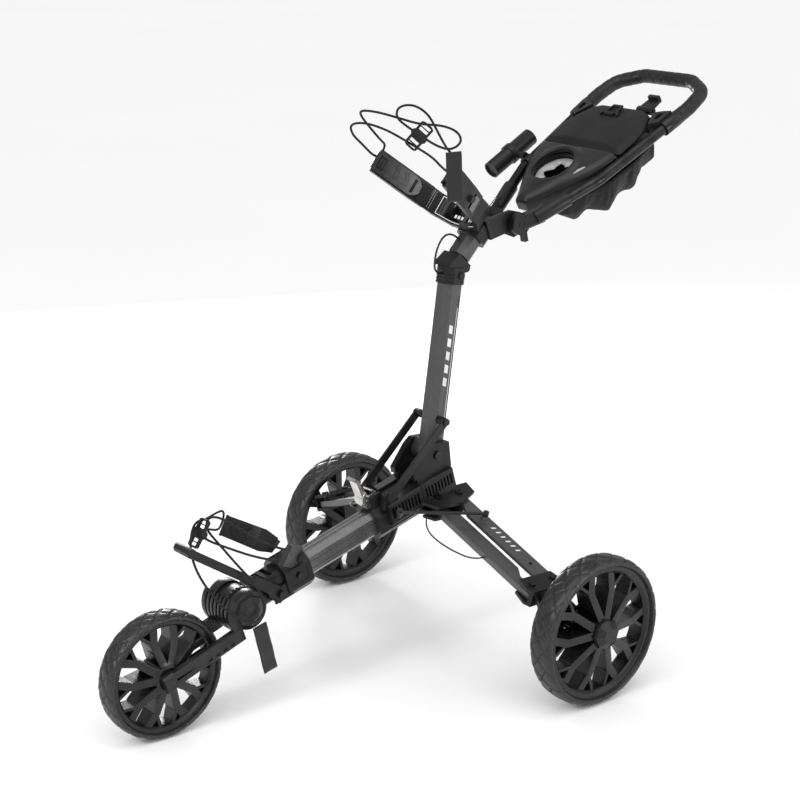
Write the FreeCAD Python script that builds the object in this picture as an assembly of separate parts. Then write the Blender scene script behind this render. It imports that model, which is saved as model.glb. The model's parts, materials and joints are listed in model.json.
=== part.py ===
import FreeCAD, Part
import math
import os
from FreeCAD import Vector as V

# Three-wheel folding golf push trolley. Millimetres, +Z up, +X the trolley's left, front wheel towards -Y.
# The model is worked out with Y = 0 at the rear axle, and shifted by AXLE_Y when it is written, so that
# the origin lies under the middle of the whole trolley on the ground.
AXLE_Y = 129.3

# Wheels
REAR_R = 146.0
FRONT_R = 120.65
REAR_TYRE_W = 56.0
FRONT_TYRE_W = 50.0
TRACK = 780.0
WHEELBASE = 711.0
AXLE_R = 6.0
RUN = 0.05                      # radial running clearance of every pin
SPOKE_PAIRS = 5
BRAKE_TEETH = 12

# Main beam: it climbs backwards at BEAM_TILT, and BEAM_REF is a point on its centre line
BEAM_TILT = 15.7
BEAM_REF = V(0, -216, 306.3)
BEAM_W, BEAM_H, BEAM_C, BEAM_WALL = 45.0, 50.0, 9.0, 3.0
BEAM_BACK, BEAM_FRONT = -160.0, 244.0
FORK_PIVOT_S = 341.0            # distance of the fork's fold pivot along the beam

# Upright and neck
UPRIGHT_PIVOT = V(0, -91, 418)
UPRIGHT_FOOT = V(0, -77, 438)
UPRIGHT_TOP = V(0, -28.5, 772)
UPRIGHT_W, UPRIGHT_D, UPRIGHT_C = 44.0, 46.0, 12.0
ELBOW = V(0, -8, 778)
NECK_FOOT = V(0, -19, 788)
NECK_ANGLE = 46.8
NECK_LENGTH = 80.0

# Folding links and sliding collar
LINK_TOP = V(0, -77, 485)
LINK_LOW = V(0, -214, 356)
LINK_X0, LINK_X1 = 40.0, 45.0
COLLAR_BACK, COLLAR_FRONT = -89.0, 18.0
CLAMP_S, CLAMP_H = 10.0, 52.0

# Rear legs: a parallelogram of a tube and a flat bar in a plane tilted by LEG_TILT
LEG_TILT = 19.2
LEG_ROOT = V(45, -100, 320.25)
LEG_SPACING = 53.0
LEG_LENGTH = 289.0
TUBE_N0, TUBE_N1 = -10.5, 2.5   # the tube and the bar lie at different levels, so that they fold past each other
BAR_N0, BAR_N1 = 3.2, 10.2
TUBE_OUTLINE = [(-10, -11), (24, -11), (34, -12), (262, -12), (276, -11), (299, -11), (299, 11), (248, 11),
                (226, 24), (42, 24), (28, 11), (-10, 11)]
BAR_OUTLINE = [(-10, -12), (34, -12), (60, -24), (262, -24), (276, -12), (299, -12), (299, 12), (-10, 12)]
ROD_ON_BAR = 84.0
LEG_FOLD = 60.0
COLLAR_TRAVEL = 92.3
ROD_FOOT = V(56, -201, 331)

BAG_VERTEX = V(0, 18, 868)

# Handle: rails, grip and console lie in a plane tilted by HANDLE_TILT through HANDLE_REF
HANDLE_TILT = 29.0
HANDLE_REF = V(0, 146, 870)
HANDLE_PIVOT = V(0, 108, 854)
RAIL_R = 11.0
GRIP_R = 14.5
RAIL_PATH = [(62, 0), (108, 129), (122, 288), (130, 385), (122, 440), (66, 472)]
RAIL_BENDS = [70, 120, 90, 40, 38]

# Console
LID_FRONT = 190.0
CUP_AT = 118.0
CUP_R = 43.0

# Umbrella holder
UMBRELLA_X, UMBRELLA_H = -157.0, 14.5
UMBRELLA_T0, UMBRELLA_T1 = 82.0, 205.0
UMBRELLA_R, UMBRELLA_BORE_R = 18.0, 14.5

# Elastic cords and cables
ELASTIC_D = 4.5
CABLE_D = 4.0
BRAKE_CABLE_D = 3.0

LOWER_CORD = [
    (95, -505, 316), (72, -542, 325), (36, -580, 342), (6, -616, 360), (-18, -600, 366),
    (-50, -570, 352), (-84, -530, 330), (-107, -507, 322), (-117, -491, 335), (-107, -497, 356),
    (-82, -528, 366), (-45, -576, 374), (-14, -618, 388), (6, -640, 377), (16, -650, 352),
    (28, -648, 316), (46, -633, 276), (60, -608, 238), (66, -575, 209), (68, -548, 197),
    (68, -526, 215), (66, -530, 246), (60, -549, 280), (46, -573, 314), (26, -594, 350),
    (6, -610, 378), (10, -606, 402), (30, -586, 400), (72, -533, 350), (97, -500, 339),
]
UPPER_CORD = [
    (97, -102, 972), (70, -109, 986), (38, -108, 1004), (4, -116, 1018), (-26, -130, 1034),
    (-50, -150, 1050), (-68, -184, 1064), (-84, -208, 1062), (-95, -195, 1040), (-103, -165, 1018),
    (-112, -130, 990), (-122, -106, 988), (-119, -95, 1008), (-108, -116, 1020), (-94, -150, 1046),
    (-78, -186, 1074), (-56, -206, 1090), (-34, -186, 1088), (-16, -150, 1076), (4, -112, 1062),
    (54, -100, 1065), (99, -99, 1058), (127, -113, 1043), (123, -136, 1030), (85, -137, 1033),
    (33, -125, 1041), (0, -136, 1058), (-14, -154, 1076), (-16, -148, 1096), (0, -124, 1100),
    (14, -100, 1082), (22, -86, 1052), (38, -82, 1028), (66, -90, 1014), (98, -97, 1009),
]
# across, back and up from the left leg's root pin, in the leg's own plane
BRAKE_CABLE = [(2, -20, -17.02), (2, -20, -39), (40, -34, -40), (104, -40, -25), (168, -38, -4),
               (168, -12.02, -4)]


# ---------------------------------------------------------------- geometry helpers

def unit(v):
    return V(v).normalize()


def placed(shape, origin, x_dir, z_dir):
    """The shape, drawn about the origin, put at origin with its X and Z axes along x_dir and z_dir."""
    x = unit(x_dir)
    z = unit(V(z_dir) - x * V(z_dir).dot(x))
    y = z.cross(x)
    m = FreeCAD.Matrix(x.x, y.x, z.x, origin.x, x.y, y.y, z.y, origin.y, x.z, y.z, z.z, origin.z, 0, 0, 0, 1)
    moved = shape.copy()
    moved.Placement = FreeCAD.Placement(m).multiply(moved.Placement)
    return moved


def face(points):
    points = [V(*p) for p in points]
    return Part.Face(Part.makePolygon(points + points[:1]))


def slab(outline, z0, z1):
    """An outline in XY, from z0 to z1."""
    return face([(x, y, z0) for x, y in outline]).extrude(V(0, 0, z1 - z0))


def side_plate(outline, x0, x1):
    """An outline in YZ, from x0 to x1."""
    return face([(x0, y, z) for y, z in outline]).extrude(V(x1 - x0, 0, 0))


def octagon(w, h, c):
    a, b = w / 2, h / 2
    return [(a, c - b), (a, b - c), (a - c, b), (c - a, b), (-a, b - c), (-a, c - b), (c - a, -b), (a - c, -b)]


def rectangle(w, h):
    return [(w / 2, -h / 2), (w / 2, h / 2), (-w / 2, h / 2), (-w / 2, -h / 2)]


def bar(p, q, outline, up=V(0, 0, 1)):
    """A straight bar from p to q; its outline is given across and up."""
    along = unit(q - p)
    across = up.cross(along)
    return placed(slab(outline, 0, (q - p).Length), p, across, along)


def pin(centre, axis, radius, length):
    axis = unit(axis)
    return Part.makeCylinder(radius, length, centre - axis * (length / 2), axis)


def cone(p, axis, r0, r1, length):
    return Part.makeCone(r0, r1, length, p, unit(axis))


def spun(profile):
    """A closed profile of (x, radius) turned round the X axis."""
    return face([(x, r, 0) for x, r in profile]).revolve(V(0, 0, 0), V(1, 0, 0), 360)


def mirrored(shape):
    return shape.mirror(V(0, 0, 0), V(1, 0, 0))


def pair(shape):
    return [shape, mirrored(shape)]


def fused(shapes):
    whole = shapes[0].fuse(shapes[1:]) if len(shapes) > 1 else shapes[0]
    return whole.removeSplitter()


def stadium(p, q, radius):
    """An outline in two dimensions: the hull of two equal circles, with arcs of eight sides."""
    ax, ay = q[0] - p[0], q[1] - p[1]
    heading = math.degrees(math.atan2(ay, ax))
    points = []
    for centre, start in ((q, heading - 90), (p, heading + 90)):
        for i in range(9):
            t = math.radians(start + 22.5 * i)
            points.append((centre[0] + radius * math.cos(t), centre[1] + radius * math.sin(t)))
    return points


def rounded_wire(points, radii):
    """Straight runs joined by tangent arcs; radii has one value for each inner point."""
    edges = []
    start = points[0]
    for i in range(1, len(points) - 1):
        a, b, c = points[i - 1], points[i], points[i + 1]
        back, ahead = unit(a - b), unit(c - b)
        half = back.getAngle(ahead) / 2
        cut = radii[i - 1] / math.tan(half)
        first, last = b + back * cut, b + ahead * cut
        middle = b + unit(back + ahead) * (radii[i - 1] / math.sin(half) - radii[i - 1])
        if (first - start).Length > 0.01:
            edges.append(Part.LineSegment(start, first).toShape())
        edges.append(Part.Arc(first, middle, last).toShape())
        start = last
    edges.append(Part.LineSegment(start, points[-1]).toShape())
    return Part.Wire(edges)


def swept(wire, radius):
    start = wire.Edges[0].Vertexes[0].Point
    toward = wire.Edges[0].tangentAt(wire.Edges[0].FirstParameter)
    disc = Part.Wire(Part.makeCircle(radius, start, toward))
    return wire.makePipeShell([disc], True, False)


def cord(name, route, diameter):
    """A round cord: arcs as large as 0.45 of the shorter run allows at each point of its route."""
    points = [V(*p) for p in route]
    radii = []
    for a, b, c in zip(points, points[1:], points[2:]):
        turn = (b - a).getAngle(c - b)
        radii.append(0.45 * min((b - a).Length, (c - b).Length) / math.tan(turn / 2))
    wire = rounded_wire(points, radii)
    tube = swept(wire, diameter / 2)
    ratio = tube.Volume / (wire.Length * math.pi * diameter ** 2 / 4)
    print(name, "length %.0f" % wire.Length, "volume ratio %.3f" % ratio,
          "tightest radius %.1f" % min(radii), "radii", " ".join("%.0f" % r for r in radii))
    return tube


# ---------------------------------------------------------------- places

BEAM_DIR = V(0, -math.cos(math.radians(BEAM_TILT)), -math.sin(math.radians(BEAM_TILT)))
BEAM_UP = V(0, -math.sin(math.radians(BEAM_TILT)), math.cos(math.radians(BEAM_TILT)))


def on_beam(s, h=0.0, x=0.0):
    """A point s forward along the beam, h above its centre line and x to the left."""
    return BEAM_REF + BEAM_DIR * s + BEAM_UP * h + V(x, 0, 0)


FORK_PIVOT = on_beam(FORK_PIVOT_S)
FRONT_HUB = V(0, -WHEELBASE, FRONT_R)
REAR_HUB = V(TRACK / 2, 0, REAR_R)
LEG_OUT = V(math.cos(math.radians(LEG_TILT)), 0, -math.sin(math.radians(LEG_TILT)))
LEG_UP = V(math.sin(math.radians(LEG_TILT)), 0, math.cos(math.radians(LEG_TILT)))
NECK_DIR = V(0, math.cos(math.radians(NECK_ANGLE)), math.sin(math.radians(NECK_ANGLE)))
NECK_FRONT = V(0, -NECK_DIR.z, NECK_DIR.y)
BAG_DIR = V(0, 0.62, 0.785)
BAG_FRONT = V(0, -0.785, 0.62)
HANDLE_DIR = V(0, math.cos(math.radians(HANDLE_TILT)), math.sin(math.radians(HANDLE_TILT)))
HANDLE_UP = V(0, -HANDLE_DIR.z, HANDLE_DIR.y)


def on_leg(a, y, n):
    """A point of the left leg's plane: a outward from the root pin, y from it, n above the plane."""
    return LEG_ROOT + LEG_OUT * a + V(0, y, 0) + LEG_UP * n


def leg_slab(outline, n0, n1):
    """An outline of (a, y) in the left leg's plane, from n0 to n1 above it."""
    return placed(slab(outline, n0, n1), LEG_ROOT, LEG_OUT, LEG_UP)


ROD_END = on_leg(ROD_ON_BAR, LEG_SPACING, 23)


def rod_turn():
    """Axis and angle of a rod's turn on the collar, from the unfolded to the folded trolley."""
    bar_root = on_leg(0, LEG_SPACING, 0)
    swing = FreeCAD.Rotation(LEG_UP, -LEG_FOLD)
    rest = unit(ROD_END - ROD_FOOT)
    folded = unit(bar_root + swing.multVec(ROD_END - bar_root) - ROD_FOOT - BEAM_DIR * COLLAR_TRAVEL)
    return unit(rest.cross(folded)), math.degrees(rest.getAngle(folded))


ROD_AXIS, ROD_TURN = rod_turn()


def on_handle(x, t, h=0.0):
    """A point of the handle's plane: x to the left, t up along it and h above it."""
    return HANDLE_REF + V(x, 0, 0) + HANDLE_DIR * t + HANDLE_UP * h


def handle_slab(outline, h0, h1):
    """An outline of (x, t) in the handle's plane, from h0 to h1 above it."""
    return placed(slab(outline, h0, h1), HANDLE_REF, V(1, 0, 0), HANDLE_UP)


def on_cradle(x, q, w=0.0):
    """A point of the upper cradle: x to the left, q forward from its vertex, w up along the bag."""
    return BAG_VERTEX + V(x, 0, 0) + BAG_FRONT * q + BAG_DIR * w


def cradle_slab(outline, w0, w1):
    """An outline in (x, q), from w0 to w1 along the bag."""
    return placed(slab(outline, -w1, -w0), BAG_VERTEX, V(1, 0, 0), BAG_DIR * -1)


# ---------------------------------------------------------------- wheels

def wheel(radius, tyre_w, hub_half, bore_r):
    """A rim with kinked spokes, and its tyre, about the X axis at the origin."""
    half = tyre_w / 2 - 6
    lip, bead, ring = 0.885 * radius, 0.862 * radius, 0.79 * radius
    rim_ring = spun([(-half, lip), (-half, 0.83 * radius), (6 - half, ring), (half - 6, ring),
                     (half, 0.83 * radius), (half, lip), (half - 3, lip), (half - 4, bead),
                     (4 - half, bead), (3 - half, lip)])
    lens = spun([(-hub_half + 3, 0), (-hub_half + 3, 22), (-17, 0.6 * radius), (-15, 0.8 * radius),
                 (15, 0.8 * radius), (17, 0.6 * radius), (hub_half - 3, 22), (hub_half - 3, 0)])
    arms = []
    for k in range(SPOKE_PAIRS):
        for side in (-1, 1):
            heading = 72.0 * k + 90

            def spot(share, turn):
                t = math.radians(heading + side * turn)
                return (share * radius * math.cos(t), share * radius * math.sin(t))

            for run, width in (((spot(0.12, 10), spot(0.58, 18)), 7.6),
                               ((spot(0.58, 18), spot(0.8, 12)), 7.6),
                               ((spot(0.6, 19), spot(0.8, 28)), 3.0)):
                arms.append(side_plate(stadium(run[0], run[1], width), -40, 40))
    spokes = fused(arms).common(lens)
    hub = spun([(-hub_half, 0), (-hub_half, 22), (3 - hub_half, 26), (hub_half - 3, 26), (hub_half, 22),
                (hub_half, 0)])
    rim = fused([rim_ring, spokes, hub]).cut(pin(V(0, 0, 0), V(1, 0, 0), bore_r, 4 * hub_half))
    inner = half - 4.2
    outer = tyre_w / 2
    side = [(inner, bead + 0.1), (inner, lip + 0.2), (half - 1, lip + 0.2), (outer - 1, lip + 3),
            (outer, 0.93 * radius), (outer - 3, 0.965 * radius), (outer - 12, 0.992 * radius)]
    tyre = spun(side + [(0, radius)] + [(-x, r) for x, r in reversed(side)])
    return rim, tyre


def hub_cap(radius, height):
    """An eight-sided domed cap on the X axis, its flat back at x = 0."""
    rings = []
    for share, x in ((1.0, 0.0), (0.94, 0.4 * height), (0.5, height)):
        corners = [V(x, share * radius * math.cos(math.radians(45 * i)),
                     share * radius * math.sin(math.radians(45 * i))) for i in range(8)]
        rings.append(Part.makePolygon(corners + corners[:1]))
    return Part.makeLoft(rings, True, True)


def rear_wheel_parts():
    rim, tyre = wheel(REAR_R, REAR_TYRE_W, 30, AXLE_R + RUN)
    cap = hub_cap(31, 14)
    cap.translate(V(30.1, 0, 0))
    ring = spun([(-37, 20), (-37, 34), (-31, 34), (-31, 20)])
    teeth = []
    for k in range(BRAKE_TEETH):
        tooth = side_plate([(33, -4.5), (42, -3.2), (42, 3.2), (33, 4.5)], -37, -31)
        tooth.rotate(V(0, 0, 0), V(1, 0, 0), 360.0 / BRAKE_TEETH * (k + 0.5))
        teeth.append(tooth)
    collar = spun([(-37, 8.5), (-37, 20), (-30.1, 20), (-30.1, 8.5)])
    brake = fused([ring, collar] + teeth)
    parts = {"rear_rim": [rim, cap], "rear_tyre": [tyre], "brake_ring": [brake]}
    for name, solids in parts.items():
        for solid in solids:
            solid.translate(REAR_HUB)
        save(name + "_left", solids)
        save(name + "_right", [mirrored(s) for s in solids])


def front_wheel_parts():
    rim, tyre = wheel(FRONT_R, FRONT_TYRE_W, 30, AXLE_R + RUN)
    for solid in (rim, tyre):
        solid.translate(FRONT_HUB)
    save("front_rim", [rim])
    save("front_tyre", [tyre])


# ---------------------------------------------------------------- front fork

def fork_parts():
    root = FORK_PIVOT + V(40, -14, -41)
    hub = FRONT_HUB + V(40, 0, 0)
    along = unit(hub - root)
    arm = bar(root, hub - along * 6, [(7, -11), (7, 11), (3, 15), (-7, 15), (-7, -15), (3, -15)])
    tip = bar(hub - along * 6, hub + along * 18, [(7, -13), (7, 13), (2, 17), (-7, 17), (-7, -17), (2, -17)])
    vents = []
    for i in range(4):
        spot = root + along * (24 + 17 * i) + V(7, 0, -5)
        vents.append(bar(spot, spot + along * 9, rectangle(6, 6)))
    arm = fused([arm, tip]).cut(pin(FRONT_HUB, V(1, 0, 0), AXLE_R, 200)).cut(Part.makeCompound(vents))
    arm = arm.cut(pin(FORK_PIVOT, V(1, 0, 0), 22, 200))
    save("fork_arms", pair(arm))

    discs = [pin(FORK_PIVOT + V(sx * 33.5, 0, 0), V(1, 0, 0), 37, 22) for sx in (-1, 1)]
    shell = pin(FORK_PIVOT, V(1, 0, 0), 48, 89).cut(pin(FORK_PIVOT, V(1, 0, 0), 39, 100))
    wedge = []
    for turn in (142, 165, 190, 215, 238):
        t = math.radians(turn)
        wedge.append((FORK_PIVOT.y + 70 * math.cos(t), FORK_PIVOT.z + 70 * math.sin(t)))
    shell = shell.common(side_plate([(FORK_PIVOT.y, FORK_PIVOT.z)] + wedge, -60, 60))
    cheeks = pin(FORK_PIVOT, V(1, 0, 0), 48, 89).cut(pin(FORK_PIVOT, V(1, 0, 0), 60, 45))
    cheeks = cheeks.common(side_plate([(FORK_PIVOT.y, FORK_PIVOT.z)] + wedge, -60, 60))
    grooves = []
    for i in range(6):
        x = -30 + 12 * i
        ring = pin(FORK_PIVOT + V(x, 0, 0), V(1, 0, 0), 50, 5).cut(pin(FORK_PIVOT, V(1, 0, 0), 45, 100))
        grooves.append(ring)
    yoke = fused(discs + [shell, cheeks]).cut(Part.makeCompound(grooves))
    yoke = yoke.cut(pin(FORK_PIVOT, V(1, 0, 0), 8, 200)).cut(Part.makeCompound(pair(arm)))
    cap = hub_cap(31, 12)
    cap.translate(FORK_PIVOT + V(44.6, 0, 0))
    cap = cap.cut(pin(FORK_PIVOT, V(1, 0, 0), 8, 2 * 50))
    save("fork_yoke", [yoke] + pair(cap))

    pivot = pin(FORK_PIVOT, V(1, 0, 0), 8, 99)
    axle = pin(FRONT_HUB, V(1, 0, 0), AXLE_R, 92)
    save("fork_pins", [pivot, axle])


def fold_housing():
    drum = pin(FORK_PIVOT, V(1, 0, 0), 34, 42)
    rim = pin(FORK_PIVOT + V(16, 0, 0), V(1, 0, 0), 38, 9)
    notches = []
    for k in range(24):
        t = math.radians(15 * k)
        spot = FORK_PIVOT + V(16, 38 * math.cos(t), 38 * math.sin(t))
        notches.append(pin(spot, V(1, 0, 0), 1.6, 12))
    block = bar(on_beam(246), on_beam(FORK_PIVOT_S - 24), octagon(52, 54, 10), BEAM_UP)
    tunnel = pin(FORK_PIVOT, V(1, 0, 0), 38.5, 200).cut(pin(FORK_PIVOT, V(1, 0, 0), 60, 43))
    body = fused([drum, rim.cut(Part.makeCompound(notches)), block])
    windows = [bar(on_beam(262 + 18 * i, 24), on_beam(272 + 18 * i, 24), rectangle(34, 8), BEAM_UP)
               for i in range(2)]
    body = body.cut(tunnel).cut(Part.makeCompound(windows))
    body = body.cut(pin(FORK_PIVOT, V(1, 0, 0), 8 + RUN, 200))
    save("fold_housing", [body])


# ---------------------------------------------------------------- frame

def beam_and_bracket():
    outer = bar(on_beam(BEAM_BACK), on_beam(BEAM_FRONT), octagon(BEAM_W, BEAM_H, BEAM_C), BEAM_UP)
    wall = 2 * BEAM_WALL
    hollow = bar(on_beam(BEAM_BACK - 1), on_beam(BEAM_FRONT + 1),
                 octagon(BEAM_W - wall, BEAM_H - wall, BEAM_C - 1), BEAM_UP)
    grooves = []
    for x, h in ((BEAM_W / 2, 7), (BEAM_W / 2, -7), (-BEAM_W / 2, 7), (-BEAM_W / 2, -7),
                 (6, BEAM_H / 2), (-6, BEAM_H / 2)):
        grooves.append(bar(on_beam(BEAM_BACK - 1, h, x), on_beam(BEAM_FRONT + 1, h, x), rectangle(2.4, 2.4),
                           BEAM_UP))
    save("main_beam", [outer.cut(hollow).cut(Part.makeCompound(grooves))])

    ring = bar(on_beam(186), on_beam(245.5), octagon(70, 76, 17), BEAM_UP)
    ring = ring.cut(bar(on_beam(150), on_beam(BEAM_FRONT + 0.4), octagon(BEAM_W + .4, BEAM_H + .4, BEAM_C),
                        BEAM_UP))
    panel = bar(on_beam(196, 0, 36), on_beam(236, 0, 36), rectangle(4, 26), BEAM_UP)
    ring = ring.cut(Part.makeCompound(pair(panel)))
    ear = bar(on_beam(236, -14, 29), on_beam(278, -14, 29), rectangle(4, 30), BEAM_UP)
    stub = pin(BASE_PIVOT + V(1, 0, 0), V(1, 0, 0), 5, 18)
    head = pin(BASE_PIVOT + V(11.5, 0, 0), V(1, 0, 0), 8, 3)
    save("lower_bracket", [fused([ring, ear, stub, head])])


BASE_PIVOT = V(37, -472, 227)
BASE_TIP = V(37, -674.3, 361.6)


def base_rest():
    along = unit(BASE_TIP - BASE_PIVOT)
    up = V(1, 0, 0).cross(along)
    main = bar(BASE_PIVOT, BASE_TIP, [(5, -7), (5, 7), (2, 9), (-2, 9), (-5, 7), (-5, -7)], up)
    teeth = [(-12, 6)]
    for i in range(5):
        teeth += [(-8 + 7 * i, 17), (-5 + 7 * i, 12)]
    teeth += [(30, 9), (72, 8), (72, -11), (-4, -12), (-12, -6)]
    plate = placed(slab(teeth, -5, 5), BASE_PIVOT, along, V(1, 0, 0))
    cross = bar(BASE_TIP - V(24, 0, 0), BASE_TIP + V(24, 0, 0), octagon(16, 18, 5), up)
    lug = pin(BASE_PIVOT, V(1, 0, 0), 13, 10)
    whole = fused([main, plate, cross, lug]).cut(pin(BASE_PIVOT, V(1, 0, 0), 5 + RUN, 60))
    save("base_rest", [whole])


def bracket_arms():
    """Short bag arms of the lower bracket: concave plates with chevron slots."""
    root, tip = V(38, -428, 289), V(101, -504, 330)
    along = unit(tip - root)
    wide = unit(V(0, 0.554, 0.832) - along * V(0, 0.554, 0.832).dot(along))
    outward = along.cross(wide)
    length = (tip - root).Length
    plate = slab([(0, -15), (26, -22), (length, -20), (length, 20), (26, 22), (0, 15)], -3, 3)
    scoop = Part.makeCylinder(150, 80, V(length * 0.55, -40, 0), V(0, 1, 0))
    scoop.translate(V(0, 0, 151.2))
    plate = plate.cut(scoop)
    slots = []
    for i in range(3):
        x = 52 + 15 * i
        slots.append(slab([(x, -12), (x + 5, -12), (x + 12, 0), (x + 5, 12), (x, 12), (x + 7, 0)], -0.4, 5))
    plate = plate.cut(Part.makeCompound(slots))
    rim = slab([(length - 5, -21), (length, -21), (length, 21), (length - 5, 21)], -6, 4)
    arm = placed(fused([plate, rim]), root, along, outward)
    foot = bar(V(35.2, -428, 286), root + along * 8, rectangle(26, 18))
    arm = fused([arm, foot])
    body = bar(on_beam(180), on_beam(250), octagon(70.4, 76.4, 17), BEAM_UP)
    save("bracket_arms", pair(arm.cut(body)))


def hub_parts():
    saddle = bar(on_beam(-152, 33.8), on_beam(-93, 33.8), rectangle(44, 17), BEAM_UP)
    save("hub_core", [saddle])

    ear = side_plate([(-151, 389), (-118, 432), (-104, 443), (-62, 441), (-56, 392), (-58, 352), (-140, 330)],
                     23.4, 37)
    channel = bar(on_beam(-90, 15, 34.7), on_beam(-172, 15, 34.7), [(11.3, -19), (11.3, 19), (8, 23),
                  (-11.3, 23), (-11.3, -23), (8, -23)], BEAM_UP)
    clevis = leg_slab([(-22, -36), (0, -42), (27, -20), (30, 40), (10, 86), (-22, 90)], -17, 17)
    clevis = clevis.cut(leg_slab([(-14, -60), (60, -60), (60, 120), (-14, 120)], -11, 11))
    side = fused([ear, channel, clevis])
    side = side.cut(bar(on_beam(-60), on_beam(-190), octagon(BEAM_W + 0.6, BEAM_H + 0.6, BEAM_C), BEAM_UP))
    side = side.cut(bar(on_beam(COLLAR_BACK - 1), on_beam(200), rectangle(94, 100), BEAM_UP))
    roots = [pin(on_leg(0, y, 0), LEG_UP, 17, 22) for y in (0, LEG_SPACING)]
    counterbores = [pin(on_leg(0, y, 23), LEG_UP, 8.6, 12.2) for y in (0, LEG_SPACING)]
    side = side.cut(Part.makeCompound(roots)).cut(Part.makeCompound(counterbores))
    slots = [bar(on_beam(-97 - 8 * i, 17, 46), on_beam(-101.5 - 8 * i, 17, 46), rectangle(9, 22), BEAM_UP)
             for i in range(9)]
    side = side.cut(Part.makeCompound(slots)).cut(saddle)
    holes = [pin(on_leg(0, y, 0), LEG_UP, 5 + RUN, 60) for y in (0, LEG_SPACING)]
    holes.append(pin(UPRIGHT_PIVOT, V(1, 0, 0), 6, 120))
    keep = side_plate([(-400, 0), (100, 0), (100, 600), (-400, 600)], 23.3, 90)
    save("hub_plates", pair(side.cut(Part.makeCompound(holes)).common(keep)))

    pins = []
    for y in (0, LEG_SPACING):
        shaft = pin(on_leg(0, y, 0), LEG_UP, 5, 36)
        head = pin(on_leg(0, y, 19), LEG_UP, 8, 4).cut(pin(on_leg(0, y, 21), LEG_UP, 3, 4))
        pins += pair(fused([shaft, head]))
    heads = [pin(UPRIGHT_PIVOT + V(sx * 39.2, 0, 0), V(1, 0, 0), 9, 4) for sx in (-1, 1)]
    pins.append(fused([pin(UPRIGHT_PIVOT, V(1, 0, 0), 6, 80)] + heads))
    pins += [pin(on_beam(216, 2, sx * 36.5), V(1, 0, 0), 6, 4.6) for sx in (-1, 1)]
    save("frame_fasteners", pins)


# ---------------------------------------------------------------- collar and links

def collar_parts():
    ring = bar(on_beam(COLLAR_BACK), on_beam(COLLAR_FRONT), octagon(68, 66, 15), BEAM_UP)
    channel = bar(on_beam(COLLAR_BACK, 15, 34.7), on_beam(-6, 15, 34.7), [(11.3, -19), (11.3, 19), (8, 23),
                  (-11.3, 23), (-11.3, -23), (8, -23)], BEAM_UP)
    ear = side_plate([(LINK_LOW.y - 12, LINK_LOW.z - 22), (LINK_LOW.y - 10, LINK_LOW.z + 6),
                      (LINK_LOW.y - 2, LINK_LOW.z + 12), (LINK_LOW.y + 8, LINK_LOW.z + 9),
                      (LINK_LOW.y + 36, LINK_LOW.z - 14)], 27, 39.4)
    lug = bar(V(36, -199.5, 322), ROD_FOOT - ROD_AXIS * 8, rectangle(13, 8))
    seat = pin(ROD_FOOT - ROD_AXIS * 8, ROD_AXIS, 7, 7)
    stud = pin(ROD_FOOT, ROD_AXIS, 3.5, 14)
    tower = [bar(on_beam(CLAMP_S + 7, 42, x), on_beam(CLAMP_S - 22, 42, x), rectangle(6, 34), BEAM_UP)
             for x in (-17, 17)]
    clamp_pin = pin(on_beam(CLAMP_S, CLAMP_H), V(1, 0, 0), 4, 40)
    solids = [ring] + tower + [clamp_pin]
    for part in (channel, ear, lug, seat, stud):
        solids += pair(part)
    whole = fused(solids)
    whole = whole.cut(bar(on_beam(-120), on_beam(60), octagon(BEAM_W + 0.8, BEAM_H + 0.8, BEAM_C), BEAM_UP))
    slots = []
    for i in range(9):
        for x in (-46, 46):
            slots.append(bar(on_beam(-12 - 8 * i, 17, x), on_beam(-16.5 - 8 * i, 17, x), rectangle(9, 22),
                             BEAM_UP))
    save("slide_collar", [whole.cut(Part.makeCompound(slots))])


def clamp_lever():
    """Cam claw: a C-shaped hook with a thumb tab above it, on a cross pin."""
    hook = Part.makeCylinder(19, 26, V(0, 0, -13)).cut(Part.makeCylinder(11, 40, V(-1, 5, -20)))
    hook = hook.cut(slab([(-5, 0), (-12, 40), (6, 40), (5, 0)], -20, 20))
    boss = Part.makeCylinder(9, 26, V(0, -2, -13))
    tab = slab([(10, 10), (16, 8), (20, 44), (26, 52), (20, 55), (13, 46)], -12, 12)
    lever = fused([hook, boss, tab])
    lever = placed(lever, on_beam(CLAMP_S, CLAMP_H), BEAM_DIR, V(-1, 0, 0))
    lever = lever.cut(pin(on_beam(CLAMP_S, CLAMP_H), V(1, 0, 0), 4 + RUN, 80))
    save("clamp_lever", [lever])


def link_parts():
    plate = side_plate(stadium((LINK_TOP.y, LINK_TOP.z), (LINK_LOW.y, LINK_LOW.z), 8), LINK_X0, LINK_X1)
    plate = plate.cut(pin(LINK_TOP, V(1, 0, 0), 4 + RUN, 200))
    bolt = pin(LINK_LOW + V(LINK_X1 + 1.5, 0, 0), V(1, 0, 0), 6, 3)
    save("folding_links", pair(fused([plate, bolt])))


# ---------------------------------------------------------------- upright and elbow

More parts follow.
